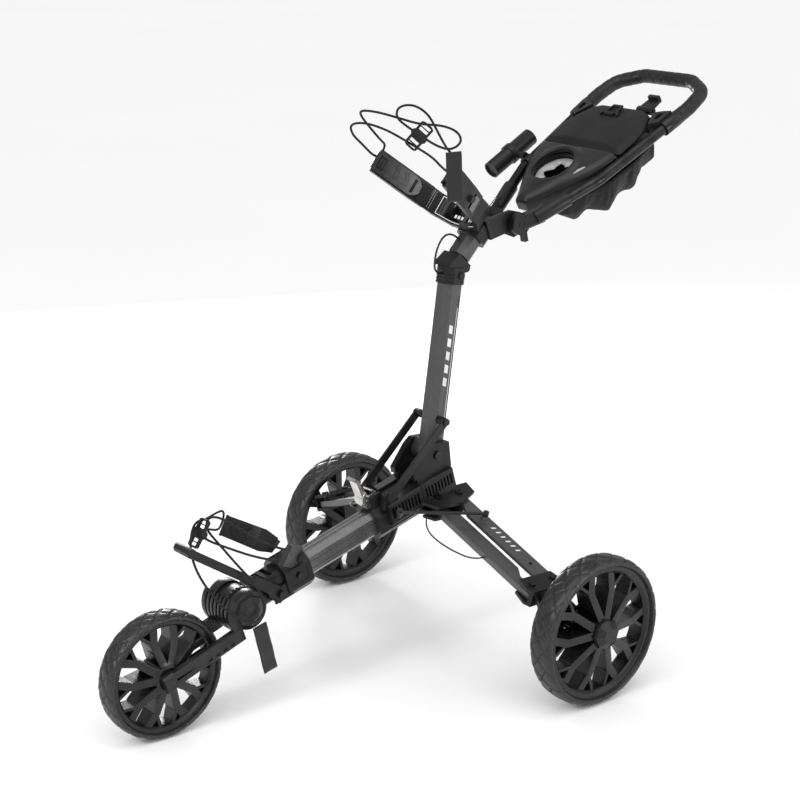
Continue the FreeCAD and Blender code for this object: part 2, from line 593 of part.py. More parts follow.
def upright_parts():
    axis = unit(UPRIGHT_TOP - UPRIGHT_FOOT)
    front = V(0, -axis.z, axis.y)
    tube = bar(UPRIGHT_FOOT - axis * 4, UPRIGHT_TOP, octagon(UPRIGHT_W, UPRIGHT_D, UPRIGHT_C), front)
    hollow = bar(UPRIGHT_FOOT + axis * 20, UPRIGHT_TOP + axis, octagon(UPRIGHT_W - 6, UPRIGHT_D - 6, 11), front)
    foot = pin(UPRIGHT_PIVOT, V(1, 0, 0), 20, UPRIGHT_W)
    web = side_plate([(-110, 418), (-71, 414), (-60, 440), (-100, 444)], -UPRIGHT_W / 2, UPRIGHT_W / 2)
    whole = fused([tube, foot, web]).cut(hollow)
    whole = whole.cut(pin(UPRIGHT_PIVOT, V(1, 0, 0), 6 + RUN, 200)).cut(pin(LINK_TOP, V(1, 0, 0), 4.02, 200))
    whole = whole.cut(pin(BUTTON_AT, V(1, 0, 0), 7.4, 24)).cut(pin(ELBOW, V(1, 0, 0), 10, 80))
    save("upright_tube", [whole])

    bolts = []
    for sx in (-1, 1):
        bolts.append(pin(LINK_TOP + V(sx * 47, 0, 0), V(1, 0, 0), 7, 3))
        bolts.append(pin(LINK_TOP + V(sx * 31, 0, 0), V(1, 0, 0), 8, 17.4))
    save("upright_pins", [fused([pin(LINK_TOP, V(1, 0, 0), 4, 95)] + bolts)])

    # Elbow: the lower block is capped by a plane through the hinge pin, square to the upright
    level = (ELBOW - UPRIGHT_TOP).dot(axis)
    top = UPRIGHT_TOP + axis * level
    block = bar(UPRIGHT_TOP - axis * 24, top, octagon(50, 52, 13), front)
    ribs = [bar(UPRIGHT_TOP - axis * (20 - 7 * i) + front * 27, UPRIGHT_TOP - axis * (17 - 7 * i) + front * 27,
                rectangle(60, 30), front) for i in range(3)]
    ribs = [r.cut(bar(UPRIGHT_TOP - axis * 40, top, octagon(47, 49, 12), front)) for r in ribs]
    lower = block.cut(Part.makeCompound(ribs))
    lower = lower.cut(bar(UPRIGHT_TOP - axis * 40, UPRIGHT_TOP + axis * 0.1,
                          octagon(UPRIGHT_W + 0.2, UPRIGHT_D + 0.2, UPRIGHT_C), front))
    knuckle = pin(ELBOW, V(1, 0, 0), 9, 18)
    space = pin(ELBOW, V(1, 0, 0), 10, 70).cut(pin(ELBOW, V(1, 0, 0), 12, 18))
    button_well = pin(BUTTON_AT, V(1, 0, 0), 7.4, 24)
    folded = bar(NECK_FOOT - NECK_DIR * 8, NECK_FOOT + NECK_DIR * 90, octagon(48, 42, 8), NECK_FRONT)
    folded.rotate(ELBOW, V(1, 0, 0), ELBOW_FOLD)
    lower = fused([lower.cut(space).cut(folded), knuckle]).cut(button_well)
    save("elbow_lower", [lower.cut(pin(ELBOW, V(1, 0, 0), 4 + RUN, 100))])

    wedge = side_plate([(ELBOW.y, ELBOW.z + 0.6), (-53, ELBOW.z + 7.2), (-50, 792), (-27, 808.5),
                        (ELBOW.y + 10, 781.5)], -23, 23)
    heel = pin(ELBOW, V(1, 0, 0), 9, 44)
    slot = pin(ELBOW, V(1, 0, 0), 9.6, 18.8)
    limit = bar(NECK_FOOT - NECK_DIR * 40, NECK_FOOT + NECK_DIR * 12, rectangle(80, 90), NECK_FRONT)
    upper = fused([wedge, heel]).cut(slot).common(limit)
    upper = upper.cut(pin(ELBOW, V(1, 0, 0), 4, 100))
    save("elbow_upper", [upper, pin(ELBOW, V(1, 0, 0), 4, 44)])

    neck = bar(NECK_FOOT + NECK_DIR * 12.2, NECK_FOOT + NECK_DIR * NECK_LENGTH, octagon(44, 40, 11), NECK_FRONT)
    bore = bar(NECK_FOOT + NECK_DIR * 10, NECK_FOOT + NECK_DIR * (NECK_LENGTH + 1), octagon(38, 34, 9),
               NECK_FRONT)
    save("neck_tube", [neck.cut(bore)])

    button = pin(BUTTON_AT, V(1, 0, 0), 6.8, 6)
    save("elbow_button", [button])


BUTTON_AT = V(25, -24, 765)
ELBOW_FOLD = -90.0


# ---------------------------------------------------------------- upper cradle

def cradle_parts():
    """Clamp collar on the neck, a curved bag rest and side plates back to the handle ratchet."""
    collar = bar(NECK_FOOT + NECK_DIR * 56, NECK_FOOT + NECK_DIR * 84, octagon(58, 54, 14), NECK_FRONT)
    back = [(-73, 62), (-68, 34), (-38, -2), (0, -10), (38, -2), (68, 34), (73, 62)]
    front = [(66, 62), (60, 40), (34, 9), (0, 1), (-34, 9), (-60, 40), (-66, 62)]
    rest = cradle_slab(back + front, -23, 23)
    stem = bar(NECK_FOOT + NECK_DIR * 66, BAG_VERTEX + BAG_FRONT * -6, octagon(46, 44, 10), NECK_FRONT)
    cheek = side_plate([(44, 828), (30, 866), (60, 874), (96, 880), (120, 874), (134, 856), (126, 834),
                        (104, 826), (80, 836)], 24, 33)
    notches = []
    for i in range(8):
        t = math.radians(-150 + 24 * i)
        spot = HANDLE_PIVOT + V(28.5, 27 * math.cos(t), 27 * math.sin(t))
        notches.append(pin(spot, V(1, 0, 0), 2.2, 12))
    cheek = cheek.cut(Part.makeCompound(notches)).cut(pin(HANDLE_PIVOT, V(1, 0, 0), 6 + RUN, 200))
    bridge = side_plate([(40, 840), (36, 862), (66, 868), (72, 846)], -24, 24)
    whole = fused([collar, rest, stem, bridge] + pair(cheek))
    whole = whole.cut(bar(NECK_FOOT, NECK_FOOT + NECK_DIR * (NECK_LENGTH + 0.2), octagon(44.2, 40.2, 11),
                          NECK_FRONT))
    save("cradle_base", [whole])

    arm = cradle_slab([(67, 61), (75, 61), (90, 100), (104, 150), (113, 188), (106, 191), (94, 150),
                       (80, 104)], -24, 24)
    slot = cradle_slab([(60, 84), (100, 84), (100, 90), (60, 90)], -16, 16)
    trims = [cradle_slab([(60, 184), (120, 184), (120, 200), (60, 200)], w0, w1)
             for w0, w1 in ((16, 30), (-30, -16))]
    arm = arm.cut(slot).cut(Part.makeCompound(trims)).cut(rest)
    knob = pin(on_cradle(90, 96), V(1, 0.25, -0.2), 7, 10)
    save("cradle_arms", pair(fused([arm, knob])))


# ---------------------------------------------------------------- handle

def rail_wire(first, last):
    """The bent tube of the handle: from the left rail's foot round the grip to the right rail's foot."""
    left = [on_handle(x, t) for x, t in RAIL_PATH]
    points = left + [V(-p.x, p.y, p.z) for p in reversed(left)]
    radii = RAIL_BENDS + RAIL_BENDS[::-1]
    return rounded_wire(points[first:last], radii[first:last - 2])


def handle_parts():
    wire = rail_wire(0, 2 * len(RAIL_PATH))
    tube = swept(wire, RAIL_R).cut(swept(wire, RAIL_R - 1.8))
    save("handle_tube", [tube])

    sleeve = swept(wire, GRIP_R).cut(swept(wire, RAIL_R + 0.05))
    grip_zone = handle_slab([(-200, 352), (200, 352), (200, 520), (-200, 520)], -40, 40)
    save("grip_sleeve", [sleeve.common(grip_zone)])

    socket_foot = on_handle(62, 0)
    rail_dir = unit(on_handle(108, 129) - socket_foot)
    barrel = pin(socket_foot + rail_dir * 26, rail_dir, 15, 76)
    disc = pin(HANDLE_PIVOT + V(42.5, 0, 0), V(1, 0, 0), 22, 17)
    neck = bar(HANDLE_PIVOT + V(44, 4, 2), socket_foot + rail_dir * 4, octagon(14, 34, 5))
    socket = fused([barrel, disc, neck])
    socket = socket.cut(pin(socket_foot + rail_dir * 60, rail_dir, RAIL_R + 0.05, 120.0))
    socket = socket.cut(pin(HANDLE_PIVOT, V(1, 0, 0), 6, 300))
    tab = bar(HANDLE_PIVOT + V(44, 10, -18), HANDLE_PIVOT + V(44, 14, -36), rectangle(14, 8), V(0, 1, 0))
    socket = fused([socket, tab])
    axle = pin(HANDLE_PIVOT, V(1, 0, 0), 6, 104)
    save("handle_sockets", pair(socket) + [axle])


def leaf(inset, t0=10.0, t1=338.0):
    """The console's outline, drawn in by inset millimetres and cut off square at t0 and t1."""
    side = [(14, 10), (34, 42), (62, 84), (90, 130), (104, 165), (110, 205), (110, 250), (100, 290), (80, 325),
            (58, 338)]
    drawn = []
    for x, t in side:
        drawn.append((x * (1 - inset / 110.0), 174 + (t - 174) * (1 - inset / 164.0)))
    kept = [p for p in drawn if t0 < p[1] < t1]
    for (xa, ta), (xb, tb) in zip(drawn, drawn[1:]):
        for t in (t0, t1):
            if ta < t < tb:
                kept.append((xa + (xb - xa) * (t - ta) / (tb - ta), t))
    if not inset and t0 == 10.0:
        kept.append(side[0])
    if not inset and t1 == 338.0:
        kept.append(side[-1])
    kept.sort(key=lambda p: p[1])
    return kept + [(-x, t) for x, t in reversed(kept)]


def loft_between(lower, h0, upper, h1):
    wires = []
    for outline, h in ((lower, h0), (upper, h1)):
        corners = [V(x, t, h) for x, t in outline]
        wires.append(Part.makePolygon(corners + corners[:1]))
    return placed(Part.makeLoft(wires, True, True), HANDLE_REF, V(1, 0, 0), HANDLE_UP)


def console_parts():
    tub = loft_between(leaf(16), -26, leaf(0), -6)
    upper = handle_slab(leaf(0), -6.05, 10)
    crown = loft_between(leaf(0, t1=LID_FRONT), 9.95, leaf(12, t1=LID_FRONT), 22)
    body = fused([tub, upper, crown])
    pocket = handle_slab(leaf(22, t0=LID_FRONT + 6, t1=320), -60, 40)
    cup_axis = on_handle(0, CUP_AT)
    body = body.cut(pocket).cut(pin(cup_axis, HANDLE_UP, CUP_R + 2.6, 120))
    clips = []
    for sx in (-1, 1):
        rail = on_handle(sx * 125.4, 330)
        along = unit(on_handle(sx * 130, 385) - on_handle(sx * 122, 288))
        ring = pin(rail, along, 15.5, 42)
        ear = handle_slab([(sx * 104, 294), (sx * 122, 306), (sx * 124, 345), (sx * 108, 341), (sx * 86, 332)],
                          8, 20)
        root = handle_slab([(sx * 94, 292), (sx * 122, 306), (sx * 124, 345), (sx * 108, 341), (sx * 74, 326)],
                           -4, 9.9)
        slot = handle_slab([(sx * 104, 310), (sx * 113, 314), (sx * 114, 334), (sx * 103, 330)], -10, 30)
        clips.append(fused([ring, ear, root]).cut(slot))
    rails = swept(rail_wire(0, 2 * len(RAIL_PATH)), RAIL_R + 0.2)
    space = swept(rail_wire(0, 2 * len(RAIL_PATH)), RAIL_R + 2.0)
    body = body.cut(space).cut(umbrella_ring(RAIL_R + 4.3, 18.6))
    clips = [clip.cut(rails) for clip in clips]
    whole = fused([body] + clips)
    hinge_gap = pin(on_handle(0, LID_FRONT + 2, 16), V(1, 0, 0), 5, 170)
    save("console_base", [whole.cut(hinge_gap).cut(lever_space())])

    wall = spun([(-30, CUP_R - 4), (-30, CUP_R - 1), (4, CUP_R + 2.3), (12, CUP_R + 2.3), (12, CUP_R - 1),
                 (4, CUP_R - 1), (-27, CUP_R - 4)])
    star = []
    for i in range(12):
        t = math.radians(30 * i + 10)
        reach = 37 if i % 2 else 23
        star.append((reach * math.cos(t), reach * math.sin(t)))
    gripper = placed(Part.makeCylinder(CUP_R, 2.5, V(0, 0, -10)), V(0, 0, 0), V(0, 1, 0), V(1, 0, 0))
    gripper = gripper.cut(side_plate(star, -20, 0))
    save("cup_liner", [placed(fused([wall, gripper]), cup_axis, HANDLE_UP, V(1, 0, 0))])

    lid = loft_between(leaf(1, t0=LID_FRONT + 8), 10.4, leaf(20, t0=LID_FRONT + 8), 27)
    hollow = loft_between(leaf(6, t0=LID_FRONT + 14), 10.0, leaf(24, t0=LID_FRONT + 14), 23.5)
    barrel = pin(on_handle(0, LID_FRONT + 2, 16), V(1, 0, 0), 4.2, 150)
    tongue = handle_slab([(-70, LID_FRONT + 2), (70, LID_FRONT + 2), (70, LID_FRONT + 10),
                          (-70, LID_FRONT + 10)], 14, 19)
    shell = fused([lid.cut(hollow), barrel, tongue]).cut(lever_space())
    latch_pin = pin(on_handle(*LATCH_AT), V(1, 0, 0), 2, 46)
    lugs = []
    for sx in (-1, 1):
        lugs.append(handle_slab([(sx * 20, 291), (sx * 24, 291), (sx * 24, 301), (sx * 20, 301)], 24, 33))
    clear = pin(on_handle(*LATCH_AT), V(1, 0, 0), 5, 39.6)
    save("console_lid", [fused([shell.cut(clear), latch_pin] + lugs)])

    bag_rings = []
    for t, half, low, high in ((64, 34, -52, -30), (110, 72, -84, -30), (170, 96, -104, -30),
                               (240, 102, -96, -30), (300, 92, -80, -30), (326, 72, -62, -30)):
        corners = [on_handle(half, t, high), on_handle(-half, t, high), on_handle(-0.9 * half, t, low + 14),
                   on_handle(-0.6 * half, t, low), on_handle(0.6 * half, t, low),
                   on_handle(0.9 * half, t, low + 14)]
        bag_rings.append(Part.makePolygon(corners + corners[:1]))
    bag = Part.makeLoft(bag_rings, True, True)
    inner = []
    for t, half, low, high in ((68, 31, -48, -20), (110, 68, -80, -20), (170, 92, -100, -20),
                               (240, 98, -92, -20), (300, 88, -76, -20), (322, 69, -59, -20)):
        corners = [on_handle(half, t, high), on_handle(-half, t, high), on_handle(-0.9 * half, t, low + 14),
                   on_handle(-0.6 * half, t, low), on_handle(0.6 * half, t, low),
                   on_handle(0.9 * half, t, low + 14)]
        inner.append(Part.makePolygon(corners + corners[:1]))
    bag = bag.cut(Part.makeLoft(inner, True, True)).cut(pin(cup_axis, HANDLE_UP, CUP_R + 3.2, 100))
    save("storage_bag", [bag])


LEVER_PIVOT_AT = (52, 344, 12)
LATCH_AT = (0, 296, 30)


def lid_latch():
    """Wire-like loop latch on the lid, lying towards the rear edge."""
    pivot = on_handle(*LATCH_AT)
    loop = handle_slab([(-19, 296), (19, 296), (13, 326), (-13, 326)], 28, 32)
    window = handle_slab([(-12, 302), (12, 302), (8, 320), (-8, 320)], 20, 40)
    barrel = pin(pivot, V(1, 0, 0), 3.6, 24)
    save("lid_latch", [fused([loop.cut(window), barrel]).cut(pin(pivot, V(1, 0, 0), 2 + RUN, 80))])


def lever_space():
    return pin(on_handle(*LEVER_PIVOT_AT), V(1, 0, 0), 12, 46)


def brake_lever():
    pivot = on_handle(*LEVER_PIVOT_AT)
    hub = pin(pivot, V(1, 0, 0), 8, 40)
    blade = handle_slab([(34, 344), (70, 344), (66, 378), (38, 378)], 12, 18)
    lip = handle_slab([(38, 372), (66, 372), (66, 380), (38, 380)], 12, 26)
    save("brake_lever", [fused([hub, blade, lip]).cut(pin(pivot, V(1, 0, 0), 3, 100))])


def umbrella_ring(radius, length):
    middle = (UMBRELLA_T0 + UMBRELLA_T1) / 2
    rail_x = 108 + (middle - 129) * 14 / 159
    along = unit(on_handle(-122, 288) - on_handle(-108, 129))
    return pin(on_handle(-rail_x, middle), along, radius, length)


def umbrella_parts():
    axis_at = on_handle(UMBRELLA_X, (UMBRELLA_T0 + UMBRELLA_T1) / 2, UMBRELLA_H)
    length = UMBRELLA_T1 - UMBRELLA_T0
    tube = pin(axis_at, HANDLE_DIR, UMBRELLA_R, length)
    band = pin(axis_at, HANDLE_DIR, UMBRELLA_R + 3, 14)
    boss = pin(axis_at + V(UMBRELLA_R + 3, 0, 0), V(1, 0, 0), 8, 5)
    foot = axis_at - HANDLE_DIR * (length / 2 - 6)
    holder = fused([tube, band, boss]).cut(pin(axis_at, HANDLE_DIR, UMBRELLA_BORE_R, length + 2))
    holder = fused([holder, pin(foot, HANDLE_DIR, UMBRELLA_BORE_R + 1, 4)])
    save("umbrella_tube", [holder])

    ring = umbrella_ring(RAIL_R + 4, 18)
    post = pin(axis_at + V(UMBRELLA_R + 16.5, 0, 0), V(1, 0, 0), 8, 21.4)
    clamp = fused([ring, post]).cut(swept(rail_wire(0, 2 * len(RAIL_PATH)), RAIL_R + 0.1))
    save("umbrella_clamp", [clamp])


# ---------------------------------------------------------------- rear legs

def leg_parts():
    tube = leg_slab(TUBE_OUTLINE, TUBE_N0, TUBE_N1)
    inside = [(44, -9.5), (250, -9.5), (236, 15), (224, 21.5), (46, 21.5)]
    tube = tube.cut(leg_slab(inside, TUBE_N0 + 2, TUBE_N1 - 2))
    flat = leg_slab([(a, y + LEG_SPACING) for a, y in BAR_OUTLINE], BAR_N0, BAR_N1)
    standoff = pin(on_leg(ROD_ON_BAR, LEG_SPACING, 12.6), LEG_UP, 6.5, 9)
    flat = fused([flat, standoff])
    for a in (0, LEG_LENGTH):
        tube = tube.cut(pin(on_leg(a, 0, 0), LEG_UP, 5 + RUN, 80))
        flat = flat.cut(pin(on_leg(a, LEG_SPACING, 0), LEG_UP, 5 + RUN, 80))
    both_sides("leg_tube", [tube])
    both_sides("leg_bar", [flat])

    a = LEG_LENGTH
    outline = [(a - 22, -14), (a + 8, -20), (a + 22, -14), (a + 22, 60), (a + 10, 68), (a - 18, 62)]
    head = leg_slab(outline, -17, 17).cut(leg_slab([(a - 60, -60), (a + 14, -60), (a + 14, 120),
                                                    (a - 60, 120)], -11, 11))
    inner = 336.0
    arm = side_plate([(-112, 232), (-96, 196), (-16, 128), (0, 126), (18, 136), (20, 152), (10, 164),
                      (-30, 206), (-30, 232)], inner, inner + 11)
    window = side_plate([(-86, 206), (-38, 166), (-42, 206)], inner - 1, inner + 12)
    stub = pin(V(inner + 42, 0, REAR_R), V(1, 0, 0), AXLE_R, 80)
    shoulder = pin(V(inner + 10, 0, REAR_R), V(1, 0, 0), 13, 8)
    guide = side_plate([(-66, 136), (-50, 136), (-50, 168), (-66, 178)], inner + 10, 359)
    channel = side_plate([(-80, 142.7), (-40, 142.7), (-40, 149.3), (-80, 149.3)], 352.6, 359.4)
    carrier = fused([head, arm.cut(window), stub, shoulder, guide.cut(channel)])
    holes = [pin(on_leg(a, y, 0), LEG_UP, 5, 60) for y in (0, LEG_SPACING)]
    clear = leg_slab([(a - 60, -60), (a + 14, -60), (a + 14, 120), (a - 60, 120)], -11, 11)
    clear = clear.fuse([pin(on_leg(a, y, 0), LEG_UP, 17, 22) for y in (0, LEG_SPACING)])
    carrier = carrier.cut(Part.makeCompound(holes)).cut(clear)
    pins = [fused([pin(on_leg(a, y, 0), LEG_UP, 5, 36), pin(on_leg(a, y, 19), LEG_UP, 7, 4)])
            for y in (0, LEG_SPACING)]
    both_sides("wheel_carrier", [carrier] + pins)

    pawl = side_plate([(-76, 143), (-46, 143), (-44.5, 144), (-44.5, 148), (-46, 149), (-76, 149)], 353, 359)
    both_sides("brake_pawl", [pawl])


def rod_parts():
    """Rods from the collar to the leg bars; each ends in an eye over its bar's standoff."""
    end = ROD_END
    along = unit(end - ROD_FOOT)
    shaft = pin((ROD_FOOT + end) * 0.5, along, 3.2, (end - ROD_FOOT).Length - 6)
    eye = pin(ROD_FOOT, ROD_AXIS, 7, 8)
    tip = pin(end, LEG_UP, 6, 8)
    rod = fused([shaft, eye, tip]).cut(pin(ROD_FOOT, ROD_AXIS, 3.5 + RUN, 40))
    both_sides("spreader_rod", [rod])


# ---------------------------------------------------------------- soft parts

def webbing(top, bottom, wide, width, thick):
    along = unit(bottom - top)
    across = unit(wide - along * wide.dot(along))
    return placed(slab([(0, -width / 2), ((bottom - top).Length, -width / 2), ((bottom - top).Length, width / 2),
                        (0, width / 2)], -thick / 2, thick / 2), top, along, along.cross(across))


def buckle(centre, along, across):
    """Ladder buckle: a plate with an open frame at each end and a wrapped bar across its middle."""
    plate = slab([(-25, -14), (25, -14), (28, -8), (28, 8), (25, 14), (-25, 14), (-28, 8), (-28, -8)], -3.5, 3.5)
    slots = [slab([(x - 3, -9.5), (x + 3, -9.5), (x + 3, 9.5), (x - 3, 9.5)], -10, 10) for x in (-21, -13, 13, 21)]
    wrap = slab(octagon(15, 34, 4), -7, 7)
    body = fused([plate.cut(Part.makeCompound(slots)), wrap])
    return placed(body, centre, along, along.cross(across))


def elbow_cable_route():
    axis = unit(UPRIGHT_TOP - UPRIGHT_FOOT)
    front = V(0, -axis.z, axis.y)
    start = NECK_FOOT + NECK_DIR * 38 + NECK_FRONT * 20.02
    end = UPRIGHT_TOP - axis * 5 + front * 26.02
    return [start, start + NECK_FRONT * 17, V(0, -42, 846), V(1, -61, 831), V(1, -71, 803),
            end + front * 16, end]


def soft_parts():
    save("lower_cord", [cord("lower_cord", LOWER_CORD, ELASTIC_D)])
    save("upper_cord", [cord("upper_cord", UPPER_CORD, ELASTIC_D)])
    left = cord("brake_cable", [on_leg(*p) for p in BRAKE_CABLE], BRAKE_CABLE_D)
    save("brake_cables", pair(left))
    save("elbow_cable", [cord("elbow_cable", elbow_cable_route(), CABLE_D)])
    save("lower_buckle", [buckle(V(4, -622, 372), V(0, 0.554, 0.832), V(1, 0, 0))])
    save("upper_buckle", [buckle(V(2, -112, 1040), V(0.25, 0.65, 0.72), V(0.62, 0.47, -0.63))])
    save("lower_tab", [webbing(V(68, -540, 192), V(68, -517, 96), V(0, 1, 0), 30, 2.2)])
    save("upper_tab", [webbing(V(124, -131, 1027), V(123, -125, 935), V(0.4, 0.92, 0), 30, 2.2)])


# ---------------------------------------------------------------- writing

SAVED = []


def save(name, solids):
    """Writes the solids of one sub-part as parts/NAME.step, shifted to the trolley's own origin."""
    loose = []
    for shape in solids:
        loose += shape.Solids
    for solid in loose:
        if not solid.isValid():
            print("not valid:", name)
    moved = Part.makeCompound(loose)
    moved.translate(V(0, AXLE_Y, 0))
    moved.exportStep("parts/" + name + ".step")
    SAVED.append((name, len(loose), sum(s.Volume for s in loose)))


def both_sides(name, solids):
    save(name + "_left", solids)
    save(name + "_right", [mirrored(s) for s in solids])


def main():
    os.makedirs("parts", exist_ok=True)
    rear_wheel_parts()
    front_wheel_parts()
    fork_parts()
    fold_housing()
    beam_and_bracket()
    base_rest()
    bracket_arms()
    hub_parts()
    collar_parts()
    clamp_lever()
    link_parts()
    upright_parts()
    cradle_parts()
    handle_parts()
    console_parts()
    lid_latch()
    brake_lever()
    umbrella_parts()
    leg_parts()
    rod_parts()
    soft_parts()
    for name, count, volume in SAVED:
        print("%-20s %d solids %9.0f mm3" % (name, count, volume))
    print(len(SAVED), "nodes")


if __name__ == "__main__":
    main()
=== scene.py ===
import json
import math

import bmesh
import bpy
from mathutils import Vector, noise
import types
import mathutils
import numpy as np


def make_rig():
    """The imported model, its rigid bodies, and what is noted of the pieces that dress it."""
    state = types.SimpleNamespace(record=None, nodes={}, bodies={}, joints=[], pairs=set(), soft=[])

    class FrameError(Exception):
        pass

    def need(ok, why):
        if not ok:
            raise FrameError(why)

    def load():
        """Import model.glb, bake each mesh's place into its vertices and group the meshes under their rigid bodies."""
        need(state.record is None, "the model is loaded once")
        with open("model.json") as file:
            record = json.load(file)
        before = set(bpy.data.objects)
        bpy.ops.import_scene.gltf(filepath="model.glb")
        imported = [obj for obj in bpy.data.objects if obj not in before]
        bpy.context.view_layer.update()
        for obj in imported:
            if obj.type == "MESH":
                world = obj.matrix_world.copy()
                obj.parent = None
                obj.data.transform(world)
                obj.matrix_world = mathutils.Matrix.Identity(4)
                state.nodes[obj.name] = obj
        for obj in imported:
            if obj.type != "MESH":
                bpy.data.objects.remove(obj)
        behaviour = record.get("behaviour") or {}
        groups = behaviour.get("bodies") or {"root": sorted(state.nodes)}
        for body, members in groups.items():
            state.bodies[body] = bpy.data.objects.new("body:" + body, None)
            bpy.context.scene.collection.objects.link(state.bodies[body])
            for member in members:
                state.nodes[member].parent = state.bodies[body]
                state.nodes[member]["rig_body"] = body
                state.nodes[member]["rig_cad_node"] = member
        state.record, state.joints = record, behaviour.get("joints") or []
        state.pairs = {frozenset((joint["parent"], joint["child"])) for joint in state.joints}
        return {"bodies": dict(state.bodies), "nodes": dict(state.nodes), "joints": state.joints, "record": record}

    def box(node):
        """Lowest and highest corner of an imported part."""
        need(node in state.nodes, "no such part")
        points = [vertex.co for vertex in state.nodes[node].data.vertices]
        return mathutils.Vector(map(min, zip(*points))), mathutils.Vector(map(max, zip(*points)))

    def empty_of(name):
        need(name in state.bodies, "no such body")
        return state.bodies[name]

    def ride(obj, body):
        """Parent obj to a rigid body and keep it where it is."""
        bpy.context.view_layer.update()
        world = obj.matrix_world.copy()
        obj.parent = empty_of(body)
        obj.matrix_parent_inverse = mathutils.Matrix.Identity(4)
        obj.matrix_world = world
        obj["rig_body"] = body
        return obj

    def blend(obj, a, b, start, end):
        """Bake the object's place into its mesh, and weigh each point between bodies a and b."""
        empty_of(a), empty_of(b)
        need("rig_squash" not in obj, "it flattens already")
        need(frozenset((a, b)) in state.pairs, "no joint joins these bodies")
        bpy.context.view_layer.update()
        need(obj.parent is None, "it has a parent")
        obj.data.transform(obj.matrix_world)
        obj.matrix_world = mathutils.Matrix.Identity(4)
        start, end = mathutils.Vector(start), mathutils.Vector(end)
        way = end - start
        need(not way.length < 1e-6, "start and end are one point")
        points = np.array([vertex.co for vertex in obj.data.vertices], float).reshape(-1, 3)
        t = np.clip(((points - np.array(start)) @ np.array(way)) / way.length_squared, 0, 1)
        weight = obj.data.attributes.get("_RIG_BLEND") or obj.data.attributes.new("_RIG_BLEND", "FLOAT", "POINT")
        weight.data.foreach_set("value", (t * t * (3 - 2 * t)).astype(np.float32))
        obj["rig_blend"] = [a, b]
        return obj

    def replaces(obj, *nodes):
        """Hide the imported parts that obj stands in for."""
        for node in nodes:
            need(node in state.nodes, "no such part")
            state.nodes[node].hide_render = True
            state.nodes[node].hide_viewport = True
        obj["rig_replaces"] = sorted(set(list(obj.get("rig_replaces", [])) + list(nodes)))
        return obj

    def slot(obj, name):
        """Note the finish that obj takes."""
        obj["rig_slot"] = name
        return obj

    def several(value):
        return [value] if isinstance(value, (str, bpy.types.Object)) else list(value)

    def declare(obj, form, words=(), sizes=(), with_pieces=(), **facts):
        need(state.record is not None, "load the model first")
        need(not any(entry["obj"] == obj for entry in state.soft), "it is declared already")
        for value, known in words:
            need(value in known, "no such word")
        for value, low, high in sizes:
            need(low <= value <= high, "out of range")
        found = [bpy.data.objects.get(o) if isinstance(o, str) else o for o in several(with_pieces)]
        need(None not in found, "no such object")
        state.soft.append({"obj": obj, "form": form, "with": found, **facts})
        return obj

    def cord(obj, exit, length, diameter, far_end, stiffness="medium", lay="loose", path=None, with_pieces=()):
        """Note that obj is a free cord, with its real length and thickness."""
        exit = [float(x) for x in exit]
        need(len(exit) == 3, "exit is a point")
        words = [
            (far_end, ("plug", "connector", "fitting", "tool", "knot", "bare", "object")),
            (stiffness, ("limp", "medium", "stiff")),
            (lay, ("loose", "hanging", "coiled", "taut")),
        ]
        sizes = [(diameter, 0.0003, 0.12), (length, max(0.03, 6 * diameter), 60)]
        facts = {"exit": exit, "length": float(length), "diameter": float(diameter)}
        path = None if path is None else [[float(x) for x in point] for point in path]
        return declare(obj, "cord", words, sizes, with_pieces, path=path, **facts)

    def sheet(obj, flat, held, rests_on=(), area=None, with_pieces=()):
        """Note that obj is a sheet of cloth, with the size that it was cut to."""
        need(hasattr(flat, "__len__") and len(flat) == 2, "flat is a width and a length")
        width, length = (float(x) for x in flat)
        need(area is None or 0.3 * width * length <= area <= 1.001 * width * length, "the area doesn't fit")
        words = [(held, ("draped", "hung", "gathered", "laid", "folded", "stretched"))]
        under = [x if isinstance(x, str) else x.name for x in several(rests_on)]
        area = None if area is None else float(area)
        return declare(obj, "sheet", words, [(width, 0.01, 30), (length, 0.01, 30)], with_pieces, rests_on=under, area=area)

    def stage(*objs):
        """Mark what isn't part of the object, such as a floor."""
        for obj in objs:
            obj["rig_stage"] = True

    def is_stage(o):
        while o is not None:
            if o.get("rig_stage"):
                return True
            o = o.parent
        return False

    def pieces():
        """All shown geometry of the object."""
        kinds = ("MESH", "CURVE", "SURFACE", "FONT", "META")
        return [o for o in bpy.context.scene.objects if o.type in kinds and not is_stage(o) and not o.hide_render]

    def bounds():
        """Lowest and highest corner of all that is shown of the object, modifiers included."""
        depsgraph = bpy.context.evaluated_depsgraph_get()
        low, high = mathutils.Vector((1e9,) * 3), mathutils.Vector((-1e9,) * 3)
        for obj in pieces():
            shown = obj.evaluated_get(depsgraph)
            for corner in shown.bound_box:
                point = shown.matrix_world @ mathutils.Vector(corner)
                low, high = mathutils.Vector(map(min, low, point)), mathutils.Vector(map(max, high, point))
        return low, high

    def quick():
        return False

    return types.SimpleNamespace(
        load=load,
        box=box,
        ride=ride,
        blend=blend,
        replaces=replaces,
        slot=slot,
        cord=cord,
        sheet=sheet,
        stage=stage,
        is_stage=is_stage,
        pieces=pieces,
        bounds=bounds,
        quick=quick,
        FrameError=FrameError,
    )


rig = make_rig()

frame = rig.load()
CAD_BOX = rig.bounds()
NODES = frame["nodes"]
JOINTS = {joint["name"]: joint for joint in frame["joints"]}
MM = 0.001


# ---- places

def middle(node):
    low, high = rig.box(node)
    return (Vector(low) + Vector(high)) / 2


def tall(node):
    low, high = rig.box(node)
    return Vector(high) - Vector(low)


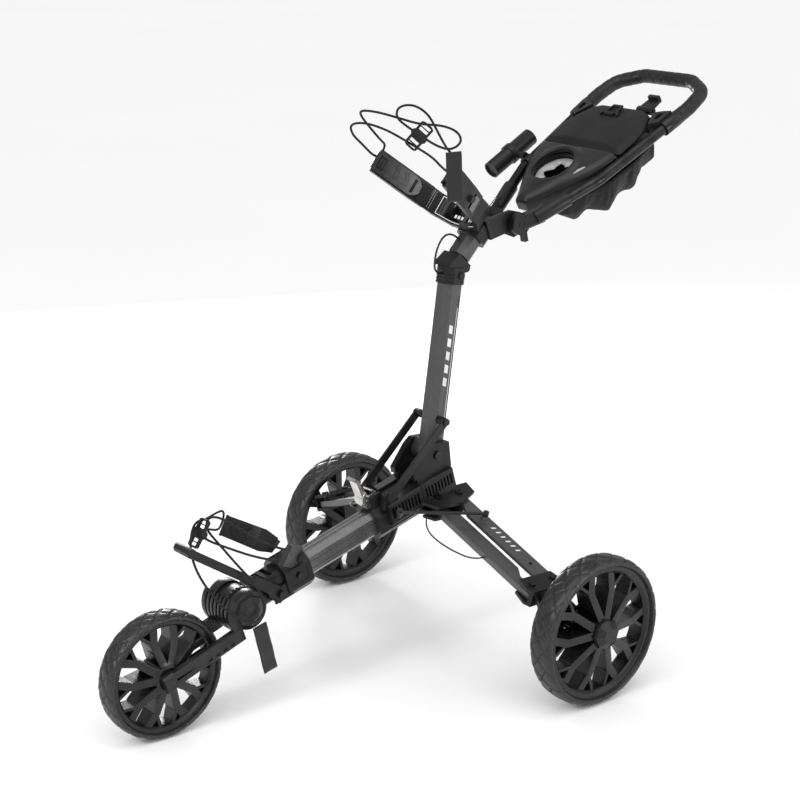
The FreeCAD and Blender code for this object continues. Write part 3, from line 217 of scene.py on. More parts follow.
AXLE_Y = middle("rear_tyre_left").y
HANDLE_PIVOT = Vector(JOINTS["handle_angle"]["pos_m"])
HANDLE_TILT = math.radians(29)
HANDLE_DIR = Vector((0, math.cos(HANDLE_TILT), math.sin(HANDLE_TILT)))
HANDLE_UP = Vector((0, -HANDLE_DIR.z, HANDLE_DIR.y))
HANDLE_REF = HANDLE_PIVOT + Vector((0, 38, 16)) * MM
BAG_DIR = Vector((0, 0.62, 0.785))
BAG_FRONT = Vector((0, -0.785, 0.62))
LEG_TILT = math.radians(19.2)
LEG_OUT = Vector((math.cos(LEG_TILT), 0, -math.sin(LEG_TILT)))
LEG_UP = Vector((math.sin(LEG_TILT), 0, math.cos(LEG_TILT)))


def at(x, y, z):
    """A point from millimetres: x to the left, y back from the rear axle, z up from the ground."""
    return Vector((x * MM, AXLE_Y + y * MM, z * MM))


BAG_VERTEX = at(0, 18, 868)
LEG_ROOT = at(45, -100, 320.25)
UPRIGHT_FOOT, UPRIGHT_TOP = at(0, -77, 438), at(0, -28.5, 772)
UPRIGHT_DIR = (UPRIGHT_TOP - UPRIGHT_FOOT).normalized()
UPRIGHT_FRONT = Vector((0, -UPRIGHT_DIR.z, UPRIGHT_DIR.y))
NECK_FOOT = at(0, -19, 788)
NECK_DIR = Vector((0, math.cos(math.radians(46.8)), math.sin(math.radians(46.8))))
NECK_FRONT = Vector((0, -NECK_DIR.z, NECK_DIR.y))


def on_handle(x, t, h=0.0):
    return HANDLE_REF + (Vector((x, 0, 0)) + HANDLE_DIR * t + HANDLE_UP * h) * MM


def on_cradle(x, q, w=0.0):
    return BAG_VERTEX + (Vector((x, 0, 0)) + BAG_FRONT * q + BAG_DIR * w) * MM


def on_leg(a, y, n, side=1):
    p = LEG_ROOT + (LEG_OUT * a + Vector((0, y, 0)) + LEG_UP * n) * MM
    return Vector((side * p.x, p.y, p.z))


def on_upright(x, front, up):
    return UPRIGHT_FOOT + (Vector((x, 0, 0)) + UPRIGHT_FRONT * front + UPRIGHT_DIR * up) * MM


# ---- materials

class Shader:
    """One Principled material, its colour, roughness and relief worked out from the place on the piece."""

    def __init__(self, name, **values):
        self.material = bpy.data.materials.new(name)
        self.material.use_nodes = True
        self.tree = self.material.node_tree
        self.principled = self.tree.nodes["Principled BSDF"]
        for socket, value in values.items():
            self.principled.inputs[socket.replace("_", " ")].default_value = value
        self.place = self.node("ShaderNodeTexCoord").outputs["Object"]

    def node(self, kind, **settings):
        made = self.tree.nodes.new(kind)
        for name, value in settings.items():
            setattr(made, name, value)
        return made

    def feed(self, socket, value):
        if isinstance(value, bpy.types.NodeSocket):
            self.tree.links.new(value, socket)
        else:
            socket.default_value = value

    def noise(self, scale, detail=3.0, stretch=(1, 1, 1)):
        made = self.node("ShaderNodeTexNoise")
        self.feed(made.inputs["Vector"], self.stretched(stretch))
        made.inputs["Scale"].default_value = scale
        made.inputs["Detail"].default_value = detail
        return made.outputs["Fac"]

    def stretched(self, stretch, turn=(0, 0, 0)):
        if tuple(stretch) == (1, 1, 1) and tuple(turn) == (0, 0, 0):
            return self.place
        made = self.node("ShaderNodeMapping")
        self.feed(made.inputs["Vector"], self.place)
        made.inputs["Scale"].default_value = stretch
        made.inputs["Rotation"].default_value = turn
        return made.outputs["Vector"]

    def wave(self, scale, turn=(0, 0, 0)):
        made = self.node("ShaderNodeTexWave")
        self.feed(made.inputs["Vector"], self.stretched((1, 1, 1), turn))
        made.inputs["Scale"].default_value = scale
        return made.outputs["Fac"]

    def cells(self, scale):
        made = self.node("ShaderNodeTexVoronoi")
        self.feed(made.inputs["Vector"], self.place)
        made.inputs["Scale"].default_value = scale
        return made.outputs["Distance"]

    def maths(self, operation, a, b=0.0):
        made = self.node("ShaderNodeMath", operation=operation)
        self.feed(made.inputs[0], a)
        self.feed(made.inputs[1], b)
        return made.outputs[0]

    def spread(self, value, low, high, out_low, out_high):
        made = self.node("ShaderNodeMapRange")
        self.feed(made.inputs["Value"], value)
        for name, number in zip(("From Min", "From Max", "To Min", "To Max"), (low, high, out_low, out_high)):
            made.inputs[name].default_value = number
        return made.outputs["Result"]

    def tones(self, value, dark, light, low=0.35, high=0.65):
        made = self.node("ShaderNodeValToRGB")
        self.feed(made.inputs["Fac"], value)
        made.color_ramp.elements[0].position, made.color_ramp.elements[1].position = low, high
        made.color_ramp.elements[0].color = (*dark, 1)
        made.color_ramp.elements[1].color = (*light, 1)
        return made.outputs["Color"]

    def blended(self, share, a, b):
        made = self.node("ShaderNodeMix", data_type="RGBA")
        self.feed(made.inputs["Factor"], share)
        self.feed(made.inputs["A"], a)
        self.feed(made.inputs["B"], b)
        return made.outputs["Result"]

    def raised(self, height, strength, distance):
        made = self.node("ShaderNodeBump")
        made.inputs["Strength"].default_value = strength
        made.inputs["Distance"].default_value = distance
        self.feed(made.inputs["Height"], height)
        self.feed(self.principled.inputs["Normal"], made.outputs["Normal"])

    def colour(self, value):
        self.feed(self.principled.inputs["Base Color"], value)

    def roughness(self, value):
        self.feed(self.principled.inputs["Roughness"], value)


def grey(value, warm=0.0):
    return (value * (1 + warm), value, value * (1 - warm))


def plain(name, dark, light, rough, grain=700, relief=0.25, depth=0.0002, spread=0.07, **values):
    """A moulded or painted surface: drifting tone, uneven gloss with faint scuffs, and a fine grain."""
    shader = Shader(name, **values)
    drift = shader.noise(22, 4)
    scuffs = shader.noise(160, 2, (1, 1, 7))
    tone = shader.tones(drift, grey(dark), grey(light))
    worn = shader.spread(scuffs, 0.66, 0.74, 0.0, 0.35)
    shader.colour(shader.blended(worn, tone, (*grey(light * 1.8), 1)))
    shader.roughness(shader.spread(shader.noise(60, 3), 0.3, 0.7, rough - spread, rough + spread))
    shader.raised(shader.noise(grain, 2), relief, depth)
    return shader.material


def brushed(name, dark, light, rough, along):
    """Anodised aluminium: fine drawn lines along the tube, and a slow drift of tone."""
    shader = Shader(name, Metallic=0.85)
    lines = shader.noise(700, 3, along)
    shader.colour(shader.tones(lines, grey(dark), grey(light), 0.3, 0.7))
    shader.roughness(shader.spread(shader.noise(30, 3), 0.3, 0.7, rough - 0.03, rough + 0.05))
    shader.raised(lines, 0.05, 0.00005)
    return shader.material


def rubber_foam(name, dark, light):
    shader = Shader(name, Specular_IOR_Level=0.42)
    shader.colour(shader.tones(shader.noise(30, 5), grey(dark), grey(light)))
    shader.roughness(shader.spread(shader.noise(120, 3), 0.3, 0.7, 0.34, 0.44))
    pits = shader.maths("ADD", shader.noise(1400, 2), shader.cells(900))
    shader.raised(pits, 0.10, 0.0001)
    return shader.material


def leatherette(name, dark, light):
    """Moulded lid skin: a small pebble grain over slow drift."""
    shader = Shader(name, Specular_IOR_Level=0.2)
    shader.colour(shader.tones(shader.noise(14, 3), grey(dark), grey(light), 0.3, 0.7))
    pebble = shader.cells(620)
    shader.roughness(shader.spread(pebble, 0.0, 0.8, 0.42, 0.58))
    shader.raised(pebble, 0.30, 0.0003)
    return shader.material


def woven(name, dark, light, pitch, open_weave=False):
    """Crossing threads: two sets of bands at right angles, with a sheen."""
    shader = Shader(name, Sheen_Weight=0.15, Sheen_Roughness=0.5, Specular_IOR_Level=0.2)
    scale = 0.5 / pitch
    one = shader.wave(scale, (0, 0, 0))
    other = shader.wave(scale, (math.radians(50), 0, math.radians(90)))
    weave = shader.maths("MULTIPLY", one, other) if open_weave else shader.maths("MAXIMUM", one, other)
    drift = shader.noise(18, 4)
    tone = shader.tones(weave, grey(dark), grey(light), 0.2, 0.8)
    shader.colour(shader.blended(shader.spread(drift, 0.35, 0.7, 0.0, 0.4), tone, (*grey(light * 1.3), 1)))
    shader.roughness(shader.spread(drift, 0.3, 0.7, 0.7, 0.9))
    shader.raised(weave, 0.5, 0.0005)
    return shader.material


def ribbed_webbing(name, dark, light):
    """Flat webbing: close ribs across the strap."""
    shader = Shader(name, Sheen_Weight=0.3, Specular_IOR_Level=0.25)
    ribs = shader.wave(260, (0, math.radians(90), 0))
    threads = shader.noise(900, 2)
    both = shader.maths("ADD", ribs, threads)
    shader.colour(shader.tones(both, grey(dark), grey(light), 0.4, 1.4))
    shader.roughness(shader.spread(threads, 0.3, 0.7, 0.75, 0.92))
    shader.raised(both, 0.6, 0.0004)
    return shader.material


def braid(name, dark, light, scale=520):
    shader = Shader(name, Specular_IOR_Level=0.3)
    one = shader.wave(scale, (0.6, 0.4, 0.8))
    other = shader.wave(scale, (-0.6, 0.4, -0.8))
    crossing = shader.maths("MULTIPLY", one, other)
    shader.colour(shader.tones(crossing, grey(dark), grey(light), 0.1, 0.8))
    shader.roughness(shader.spread(crossing, 0.0, 1.0, 0.6, 0.8))
    shader.raised(crossing, 0.4, 0.0002)
    return shader.material


def metal(name, dark, light, rough, scale=300):
    shader = Shader(name, Metallic=1.0)
    shader.colour(shader.tones(shader.noise(40, 3), grey(dark, 0.02), grey(light, 0.02)))
    shader.roughness(shader.spread(shader.noise(scale, 3), 0.3, 0.7, rough - 0.04, rough + 0.05))
    shader.raised(shader.noise(scale * 3, 2), 0.04, 0.00005)
    return shader.material


def paddle_with_painted_highlight():
    """Moulded pad: near black at its tip, with a painted highlight that makes it grey towards its root."""
    shader = Shader("paddle_rubber", Specular_IOR_Level=0.4)
    reach = shader.node("ShaderNodeVectorMath", operation="DOT_PRODUCT")
    shader.feed(reach.inputs[0], shader.place)
    reach.inputs[1].default_value = BAG_FRONT
    root = BAG_VERTEX.dot(BAG_FRONT)
    # painted highlight: the pad's colour turns from near black to grey towards its root, where light falls on it
    painted_highlight = shader.spread(reach.outputs["Value"], root + 0.088, root + 0.165, 1.0, 0.0)
    drift = shader.noise(60, 4)
    shader.colour(shader.blended(painted_highlight, shader.tones(drift, grey(0.010), grey(0.018)),
                                 shader.tones(drift, grey(0.10), grey(0.15))))
    shader.roughness(shader.spread(shader.noise(90, 3), 0.3, 0.7, 0.38, 0.5))
    shader.raised(shader.noise(1000, 2), 0.2, 0.0001)
    return shader.material


M = {
    "anodised_grey": brushed("anodised_upright", 0.085, 0.105, 0.36, (1, 1, 0.04)),
    "beam_grey": brushed("anodised_beam", 0.17, 0.21, 0.26, (1, 0.04, 1)),
    "leg_grey": brushed("anodised_leg", 0.13, 0.155, 0.38, (0.04, 1, 1)),
    "black_plastic": plain("black_plastic", 0.006, 0.010, 0.38, Specular_IOR_Level=0.32),
    "satin_plastic": plain("satin_plastic", 0.008, 0.013, 0.33, grain=500, Specular_IOR_Level=0.36),
    "grey_plastic": plain("grey_plastic", 0.012, 0.019, 0.36, Specular_IOR_Level=0.34),
    "rim_plastic": plain("rim_plastic", 0.005, 0.009, 0.28, grain=350, relief=0.15, Specular_IOR_Level=0.4),
    "foam_tyre": rubber_foam("foam_tyre", 0.014, 0.022),
    "grip_rubber": plain("grip_rubber", 0.009, 0.015, 0.44, grain=1300, relief=0.4, Specular_IOR_Level=0.34),
    "bright_metal": metal("bright_metal", 0.52, 0.66, 0.2),
    "dark_steel": metal("dark_steel", 0.035, 0.055, 0.34),
    "rail_black": metal("rail_black", 0.028, 0.042, 0.3),
    "cup_rubber": plain("cup_rubber", 0.42, 0.52, 0.5, grain=900, Specular_IOR_Level=0.3),
    "mesh_fabric": woven("mesh_fabric", 0.004, 0.012, 0.0016, True),
    "band_fabric": woven("band_fabric", 0.007, 0.015, 0.0012),
    "elastic": braid("elastic_braid", 0.006, 0.018),
    "webbing": ribbed_webbing("webbing", 0.006, 0.018),
    "cable_jacket": plain("cable_jacket", 0.006, 0.010, 0.34, grain=1600, relief=0.12,
                          Specular_IOR_Level=0.35),
    "lid_skin": leatherette("lid_skin", 0.012, 0.019),
    "pale_trim": plain("pale_trim", 0.30, 0.38, 0.4, grain=900),
    "white_print": plain("white_print", 0.62, 0.74, 0.45, grain=1400, relief=0.1),
    "mid_print": plain("mid_print", 0.10, 0.14, 0.45, grain=1400, relief=0.1),
    "gloss_black": plain("gloss_black", 0.003, 0.006, 0.14, grain=500, relief=0.05, Specular_IOR_Level=0.4),
    "paddle": paddle_with_painted_highlight(),
}


def lime_print():
    shader = Shader("lime_print", Specular_IOR_Level=0.4)
    shader.colour(shader.tones(shader.noise(400, 3), (0.35, 0.52, 0.02), (0.46, 0.66, 0.03)))
    shader.roughness(shader.spread(shader.noise(90, 3), 0.3, 0.7, 0.4, 0.55))
    return shader.material


M["lime_print"] = lime_print()


# ---- mesh helpers

def shown(name, data):
    """A new object in the scene."""
    made = bpy.data.objects.new(name, data)
    bpy.context.scene.collection.objects.link(made)
    return made


def block(u0, u1, v0, v1):
    """A rectangle's outline."""
    return [(u0, v0), (u1, v0), (u1, v1), (u0, v1)]


def around(k, sides):
    """The angle of corner k of a ring."""
    return 2 * math.pi * k / sides


def mesh_object(name, vertices, faces, smooth=True):
    mesh = bpy.data.meshes.new(name)
    mesh.from_pydata([tuple(v) for v in vertices], [], faces)
    mesh.validate()
    mesh.update()
    for polygon in mesh.polygons:
        polygon.use_smooth = smooth
    return shown(name, mesh)


def outward(piece):
    """Makes a closed mesh's faces look outwards."""
    shape = bmesh.new()
    shape.from_mesh(piece.data)
    bmesh.ops.remove_doubles(shape, verts=shape.verts, dist=1e-7)
    bmesh.ops.recalc_face_normals(shape, faces=shape.faces)
    shape.to_mesh(piece.data)
    shape.free()
    return piece


def grid_faces(rows, columns, ring=True, loop=False):
    """Quads of a grid of points; ring closes each row, and loop closes the last row to the first."""
    faces = []
    for i in range(rows if loop else rows - 1):
        for j in range(columns if ring else columns - 1):
            a, b = i * columns + j, i * columns + (j + 1) % columns
            c, d = ((i + 1) % rows) * columns + (j + 1) % columns, ((i + 1) % rows) * columns + j
            faces.append((a, b, c, d))
    return faces


def smoothed(points, steps):
    """Catmull-Rom points through an open outline, its ends kept."""
    first, last = points[0] * 2 - points[1], points[-1] * 2 - points[-2]
    row = [first] + list(points) + [last]
    made = []
    for i in range(1, len(row) - 2):
        a, b, c, d = row[i - 1:i + 3]
        for k in range(steps):
            t = k / steps
            made.append(0.5 * (2 * b + (c - a) * t + (2 * a - 5 * b + 4 * c - d) * t * t
                               + (3 * b - 3 * c + d - a) * t ** 3))
    made.append(points[-1])
    return made


def rounded(piece, width=1.0):
    """Soft edges on a piece, by a bevel modifier, so that a CAD node's own mesh stays as it is."""
    weld = piece.modifiers.new("Weld", "WELD")
    weld.merge_threshold = 0.00002
    bevel = piece.modifiers.new("Bevel", "BEVEL")
    bevel.width = width * MM
    bevel.segments = 2
    bevel.limit_method = "ANGLE"
    bevel.angle_limit = math.radians(35)
    bevel.use_clamp_overlap = True
    bevel.harden_normals = False
    return piece


def dressed(piece, finish, body, slot, *replaced):
    """Gives a new piece its material, its body and its slot."""
    piece.data.materials.clear()
    piece.data.materials.append(M[finish])
    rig.slot(piece, slot)
    if replaced:
        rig.replaces(piece, *replaced)
    if body:
        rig.ride(piece, body)
    return piece


def prism(name, outline, place, low, high):
    """An outline of (u, v) millimetres carried by place(u, v, height), from height low to high."""
    count = len(outline)
    vertices = [place(u, v, low) for u, v in outline] + [place(u, v, high) for u, v in outline]
    faces = [tuple(reversed(range(count))), tuple(range(count, 2 * count))]
    faces += [(i, (i + 1) % count, count + (i + 1) % count, count + i) for i in range(count)]
    return outward(mesh_object(name, vertices, faces, smooth=False))


def slabbed(name, rows, columns, point):
    """A closed slab of a grid of points: point(i, j, 0) is its under side, and point(i, j, 1) its upper."""
    vertices = [point(i, j, level) for level in (0, 1) for i in range(rows) for j in range(columns)]
    count = rows * columns
    faces = grid_faces(rows, columns, False)
    faces += [tuple(count + k for k in reversed(f)) for f in grid_faces(rows, columns, False)]
    border = list(range(columns)) + [i * columns + columns - 1 for i in range(1, rows)]
    border += [(rows - 1) * columns + j for j in range(columns - 2, -1, -1)]
    border += [i * columns for i in range(rows - 2, 0, -1)]
    for a, b in zip(border, border[1:] + border[:1]):
        faces.append((b, a, a + count, b + count))
    return outward(mesh_object(name, vertices, faces))


def tube_along(name, points, radius_at, sides):
    """A round tube through points; radius_at(distance, angle) is in metres."""
    forward = [(points[min(i + 1, len(points) - 1)] - points[max(i - 1, 0)]).normalized()
               for i in range(len(points))]
    across = forward[0].orthogonal().normalized()
    vertices, run = [], 0.0
    for i, point in enumerate(points):
        if i:
            run += (point - points[i - 1]).length
        across = (across - forward[i] * across.dot(forward[i])).normalized()
        up = forward[i].cross(across)
        for k in range(sides):
            t = around(k, sides)
            vertices.append(point + (across * math.cos(t) + up * math.sin(t)) * radius_at(run, t))
    faces = grid_faces(len(points), sides)
    faces += [tuple(reversed(range(sides))), tuple(range((len(points) - 1) * sides, len(points) * sides))]
    return outward(mesh_object(name, vertices, faces))


def joined(name, pieces):
    """One object from several that share a finish."""
    shape = bmesh.new()
    for piece in pieces:
        shape.from_mesh(piece.data)
        bpy.data.objects.remove(piece)
    mesh = bpy.data.meshes.new(name)
    shape.to_mesh(mesh)
    shape.free()
    return shown(name, mesh)


def head(name, centre, axis, radius, height, sides=24):
    """A low domed screw head with a six-sided socket."""
    axis = Vector(axis).normalized()
    across = axis.orthogonal().normalized()
    up = axis.cross(across)
    profile = [(radius, 0), (radius, 0.45 * height), (0.86 * radius, 0.85 * height), (0.6 * radius, height),
               (0.42 * radius, height), (0.40 * radius, 0.35 * height), (0.02 * radius, 0.3 * height)]
    vertices = []
    for i, (r, h) in enumerate(profile):
        for k in range(sides):
            t = around(k, sides)
            hexagon = 1.0
            if i in (4, 5):
                hexagon = math.cos(math.pi / 6) / math.cos((t + math.pi / 6) % (math.pi / 3) - math.pi / 6)
            vertices.append(centre + (across * math.cos(t) + up * math.sin(t)) * r * hexagon + axis * h)
    faces = grid_faces(len(profile), sides)
    faces += [tuple(range(sides)), tuple(range((len(profile) - 1) * sides, len(profile) * sides))]
    return outward(mesh_object(name, vertices, faces, smooth=False))


# ---- camera, floor and light

AZIMUTH, ELEVATION, DISTANCE = math.radians(51.25), math.radians(16.52), 3.5586
FOCAL_LENGTH, SENSOR = 81.48915, 36
TARGET = at(-47.4, -117.6, 516.4)
FLOOR_HALF = 60
SUNS = (("overhead", (0.9, -0.9, 3.0), 60, 1.15), ("front", (1.4, -2.2, 2.0), 50, 0.5),
        ("back", (2.2, 1.8, 1.8), 40, 0.45))
PANELS = (("key", (0.4, -3.0, 2.2), 0.5, 26), ("rim", (-2.8, 1.2, 0.9), 0.7, 34),
          ("side", (3.2, 1.0, 0.8), 0.7, 22))


def facing(towards):
    return towards.to_track_quat("-Z", "Y").to_euler()


def camera_and_stage():
    camera = bpy.data.cameras.new("camera")
    camera.sensor_width = SENSOR
    camera.lens = FOCAL_LENGTH
    holder = shown("camera", camera)
    away = Vector((math.sin(AZIMUTH) * math.cos(ELEVATION), -math.cos(AZIMUTH) * math.cos(ELEVATION),
                   math.sin(ELEVATION)))
    holder.location = TARGET + away * DISTANCE
    holder.rotation_euler = facing(-away)
    bpy.context.scene.camera = holder

    corners = block(-FLOOR_HALF, FLOOR_HALF, -FLOOR_HALF, FLOOR_HALF)
    floor = mesh_object("floor", [(x, y, 0) for x, y in corners], [(0, 1, 2, 3)])
    pale = Shader("floor_pale", Roughness=0.95, Specular_IOR_Level=0.1)
    pale.colour(pale.tones(pale.noise(0.6, 2), grey(0.925), grey(0.935)))
    floor.data.materials.append(pale.material)
    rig.stage(floor)

    world = bpy.data.worlds.new("studio")
    bpy.context.scene.world = world
    world.use_nodes = True
    world.node_tree.nodes["Background"].inputs["Color"].default_value = (1, 1, 1, 1)
    world.node_tree.nodes["Background"].inputs["Strength"].default_value = 0.5
    for name, place, spread, power in SUNS:
        light = bpy.data.lights.new(name, "SUN")
        light.angle = math.radians(spread)
        light.energy = power
        shown(name, light).rotation_euler = facing(-Vector(place))
    for name, place, size, power in PANELS:
        light = bpy.data.lights.new(name, "AREA")
        light.size = size
        light.energy = power
        lamp = shown(name, light)
        lamp.location = place
        lamp.rotation_euler = facing(TARGET - Vector(place))
    bpy.context.scene.view_settings.view_transform = "Standard"


# ---- cords

LOWER_CORD = [
    (95, -505, 316), (72, -542, 325), (36, -580, 342), (6, -616, 360), (-18, -600, 366),
    (-50, -570, 352), (-84, -530, 330), (-107, -507, 322), (-117, -491, 335), (-107, -497, 356),
    (-82, -528, 366), (-45, -576, 374), (-14, -618, 388), (6, -640, 377), (16, -650, 352),
    (28, -648, 316), (46, -633, 276), (60, -608, 238), (66, -575, 209), (68, -548, 197),
    (68, -526, 215), (66, -530, 246), (60, -549, 280), (46, -573, 314), (26, -594, 350),
    (6, -610, 378), (10, -606, 402), (30, -586, 400), (72, -533, 350), (97, -500, 339),
]
UPPER_CORD = [
    (97, -102, 972), (70, -109, 986), (38, -108, 1004), (4, -116, 1018), (-26, -130, 1034),
    (-50, -150, 1050), (-68, -184, 1064), (-84, -208, 1062), (-95, -195, 1040), (-103, -165, 1018),
    (-112, -130, 990), (-122, -106, 988), (-119, -95, 1008), (-108, -116, 1020), (-94, -150, 1046),
    (-78, -186, 1074), (-56, -206, 1090), (-34, -186, 1088), (-16, -150, 1076), (4, -112, 1062),
    (54, -100, 1065), (99, -99, 1058), (127, -113, 1043), (123, -136, 1030), (85, -137, 1033),
    (33, -125, 1041), (0, -136, 1058), (-14, -154, 1076), (-16, -148, 1096), (0, -124, 1100),
    (14, -100, 1082), (22, -86, 1052), (38, -82, 1028), (66, -90, 1014), (98, -97, 1009),
]
# across, back and up from the left leg's root pin, in the leg's own plane
BRAKE_CABLE = [(2, -20, -17.02), (2, -20, -39), (40, -34, -40), (104, -40, -25), (168, -38, -4),
               (168, -12.02, -4)]


def nurbs(name, points, diameter=0.0):
    """A cord's smooth line: an open NURBS spline with its route's points as control points."""
    curve = bpy.data.curves.new(name, "CURVE")
    curve.dimensions = "3D"
    spline = curve.splines.new("NURBS")
    spline.points.add(len(points) - 1)
    for point, place in zip(spline.points, points):
        point.co = (*place, 1)
    spline.order_u = 3
    spline.use_endpoint_u = True
    curve.resolution_u = 10
    curve.bevel_depth = diameter / 2
    curve.bevel_resolution = 5
    curve.use_fill_caps = True
    return shown(name, curve)


def line_of(points):
    """Points along a cord's own spline."""
    bare = nurbs("bare", points)
    bare.data.bevel_depth = 0
    bare.data.use_fill_caps = False
    bpy.context.view_layer.update()
    mesh = bpy.data.meshes.new_from_object(bare.evaluated_get(bpy.context.evaluated_depsgraph_get()))
    line = [v.co.copy() for v in mesh.vertices]
    bpy.data.meshes.remove(mesh)
    bpy.data.objects.remove(bare)
    return line


def free_cord(name, node, route, body, diameter, length):
    points = [at(*p) for p in route]
    piece = nurbs(name, points, diameter)
    piece.data.materials.append(M["elastic"])
    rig.slot(piece, "elastic")
    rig.replaces(piece, node)
    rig.ride(piece, body)
    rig.cord(piece, exit=points[0], length=length, diameter=diameter, far_end="object", stiffness="limp",
            lay="taut")


def jacketed(name, points, diameter, length, body_a, body_b, start, end, *replaced):
    line = line_of(points)
    piece = tube_along(name, line, lambda run, turn: diameter / 2, sides=12)
    dressed(piece, "cable_jacket", None, "cable_jacket", *replaced)
    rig.cord(piece, exit=points[0], length=length, diameter=diameter, far_end="object", stiffness="medium",
            lay="loose", path=line)
    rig.blend(piece, body_a, body_b, start, end)


def cords():
    free_cord("lower_elastic", "lower_cord", LOWER_CORD, "frame", 0.0045, 1.165)
    free_cord("upper_elastic", "upper_cord", UPPER_CORD, "neck", 0.0045, 1.167)
    for side, sign in (("left", 1), ("right", -1)):
        points = [on_leg(*p, side=sign) for p in BRAKE_CABLE]
        replaced = ("brake_cables",) if side == "left" else ()
        jacketed("brake_cable_" + side, points, 0.003, 0.212, "frame", "leg_" + side, points[1], points[-3],
                 *replaced)
    start = NECK_FOOT + (NECK_DIR * 38 + NECK_FRONT * 20.02) * MM
    end = UPRIGHT_TOP + (UPRIGHT_DIR * -5 + UPRIGHT_FRONT * 26.02) * MM
    points = [start, start + NECK_FRONT * 17 * MM, at(0, -42, 846), at(1, -61, 831), at(1, -71, 803),
              end + UPRIGHT_FRONT * 16 * MM, end]
    jacketed("elbow_cable_jacket", points, 0.004, 0.134, "neck", "upright", points[1], points[-2],
             "elbow_cable")


# ---- wheels

TREAD_DIAMONDS = 22
TREAD_DEPTH = 2.4
TREAD_LINE = 0.10
TREAD_COLUMNS = 616
CHEEK = 0.87


def tyre(name, node, body):
    """A foam tyre: smooth cheeks, and a crown cut by two sets of slanting grooves that cross as diamonds."""
    centre = middle(node)
    size = tall(node) / MM
    radius, outer = size.z / 2, size.x / 2
    half, lip = outer - 6, 0.885 * radius
    side = [(half - 1, lip + 0.2), (outer - 1, lip + 3), (outer, 0.93 * radius), (outer - 3, 0.965 * radius),
            (outer - 12, 0.992 * radius), (0, radius)]
    arc = smoothed([Vector(p) for p in side], 5)
    arc = arc + [Vector((-p.x, p.y)) for p in reversed(arc[:-1])]
    runs = [0.0]
    for a, b in zip(arc, arc[1:]):
        runs.append(runs[-1] + (b - a).length)
    vertices = []
    for point, run in zip(arc, runs):
        across = 2 * run / runs[-1] - 1
        fade = min(1.0, max(0.0, (0.84 - abs(across)) / 0.08))
        for k in range(TREAD_COLUMNS):
            turn = k / TREAD_COLUMNS
            cut = 0.0
            for sense in (1, -1):
                away = abs((turn * TREAD_DIAMONDS + sense * across * 1.35) % 1.0 - 0.5)
                groove = min(1.0, max(0.0, (TREAD_LINE - away) / (0.8 * TREAD_LINE)))
                cut = max(cut, groove * groove * (3 - 2 * groove), 0.25 * (1 - min(1.0, away / 0.3)))
            ring = min(1.0, max(0.0, (0.025 - abs(abs(across) - CHEEK)) / 0.012))
            depth = TREAD_DEPTH * max(cut * fade, 0.4 * ring)
            r = point.y - depth
            t = 2 * math.pi * turn
            vertices.append(centre + Vector((point.x, r * math.cos(t), r * math.sin(t))) * MM)
    back = [(-half + 4, 0.862 * radius + 0.3), (half - 4, 0.862 * radius + 0.3)]
    for x, r in back:
        for k in range(TREAD_COLUMNS):
            t = around(k, TREAD_COLUMNS)
            vertices.append(centre + Vector((x, r * math.cos(t), r * math.sin(t))) * MM)
    piece = outward(mesh_object(name, vertices, grid_faces(len(arc) + 2, TREAD_COLUMNS, True, True)))
    dressed(piece, "foam_tyre", body, "foam_tyre", node)


def wheels():
    tyre("front_tyre_treaded", "front_tyre", "front_wheel")
    for side in ("left", "right"):
        tyre("rear_tyre_treaded_" + side, "rear_tyre_" + side, "rear_wheel_" + side)


# ---- handle

RAIL_PATH = [(62, 0), (108, 129), (122, 288), (130, 385), (122, 440), (66, 472)]
RAIL_BENDS = [70, 120, 90, 40, 38]
GRIP_FROM = 352
GRIP_R = 14.5
SEGMENT_PITCH = 22.0


def bent(points, radii, step=7.0):
    """Straight runs joined by arcs, as points about step apart; radii has one value for each inner point."""
    made = [points[0]]
    for i in range(1, len(points) - 1):
        a, b, c = points[i - 1], points[i], points[i + 1]
        back, ahead = (a - b).normalized(), (c - b).normalized()
        half = back.angle(ahead) / 2
        cut = radii[i - 1] / math.tan(half)
        centre = b + (back + ahead).normalized() * (radii[i - 1] / math.sin(half))
        first, last = b + back * cut, b + ahead * cut
        run = first - made[-1]
        count = max(1, round(run.length / step))
        made += [made[-1] + run * (k / count) for k in range(1, count)]
        arms = first - centre, last - centre
        count = max(2, math.ceil(arms[0].angle(arms[1]) * radii[i - 1] / step * 1.5))
        for k in range(count + 1):
            swing = arms[0].slerp(arms[1], k / count)
            made.append(centre + swing.normalized() * radii[i - 1])
    run = points[-1] - made[-1]
    count = max(1, round(run.length / step))
    made += [made[-1] + run * (k / count) for k in range(1, count + 1)]
    return made


def rail_line(step):
    left = [Vector((x, t, 0)) for x, t in RAIL_PATH]
    corners = left + [Vector((-p.x, p.y, 0)) for p in reversed(left)]
    return bent(corners, RAIL_BENDS + RAIL_BENDS[::-1], step)


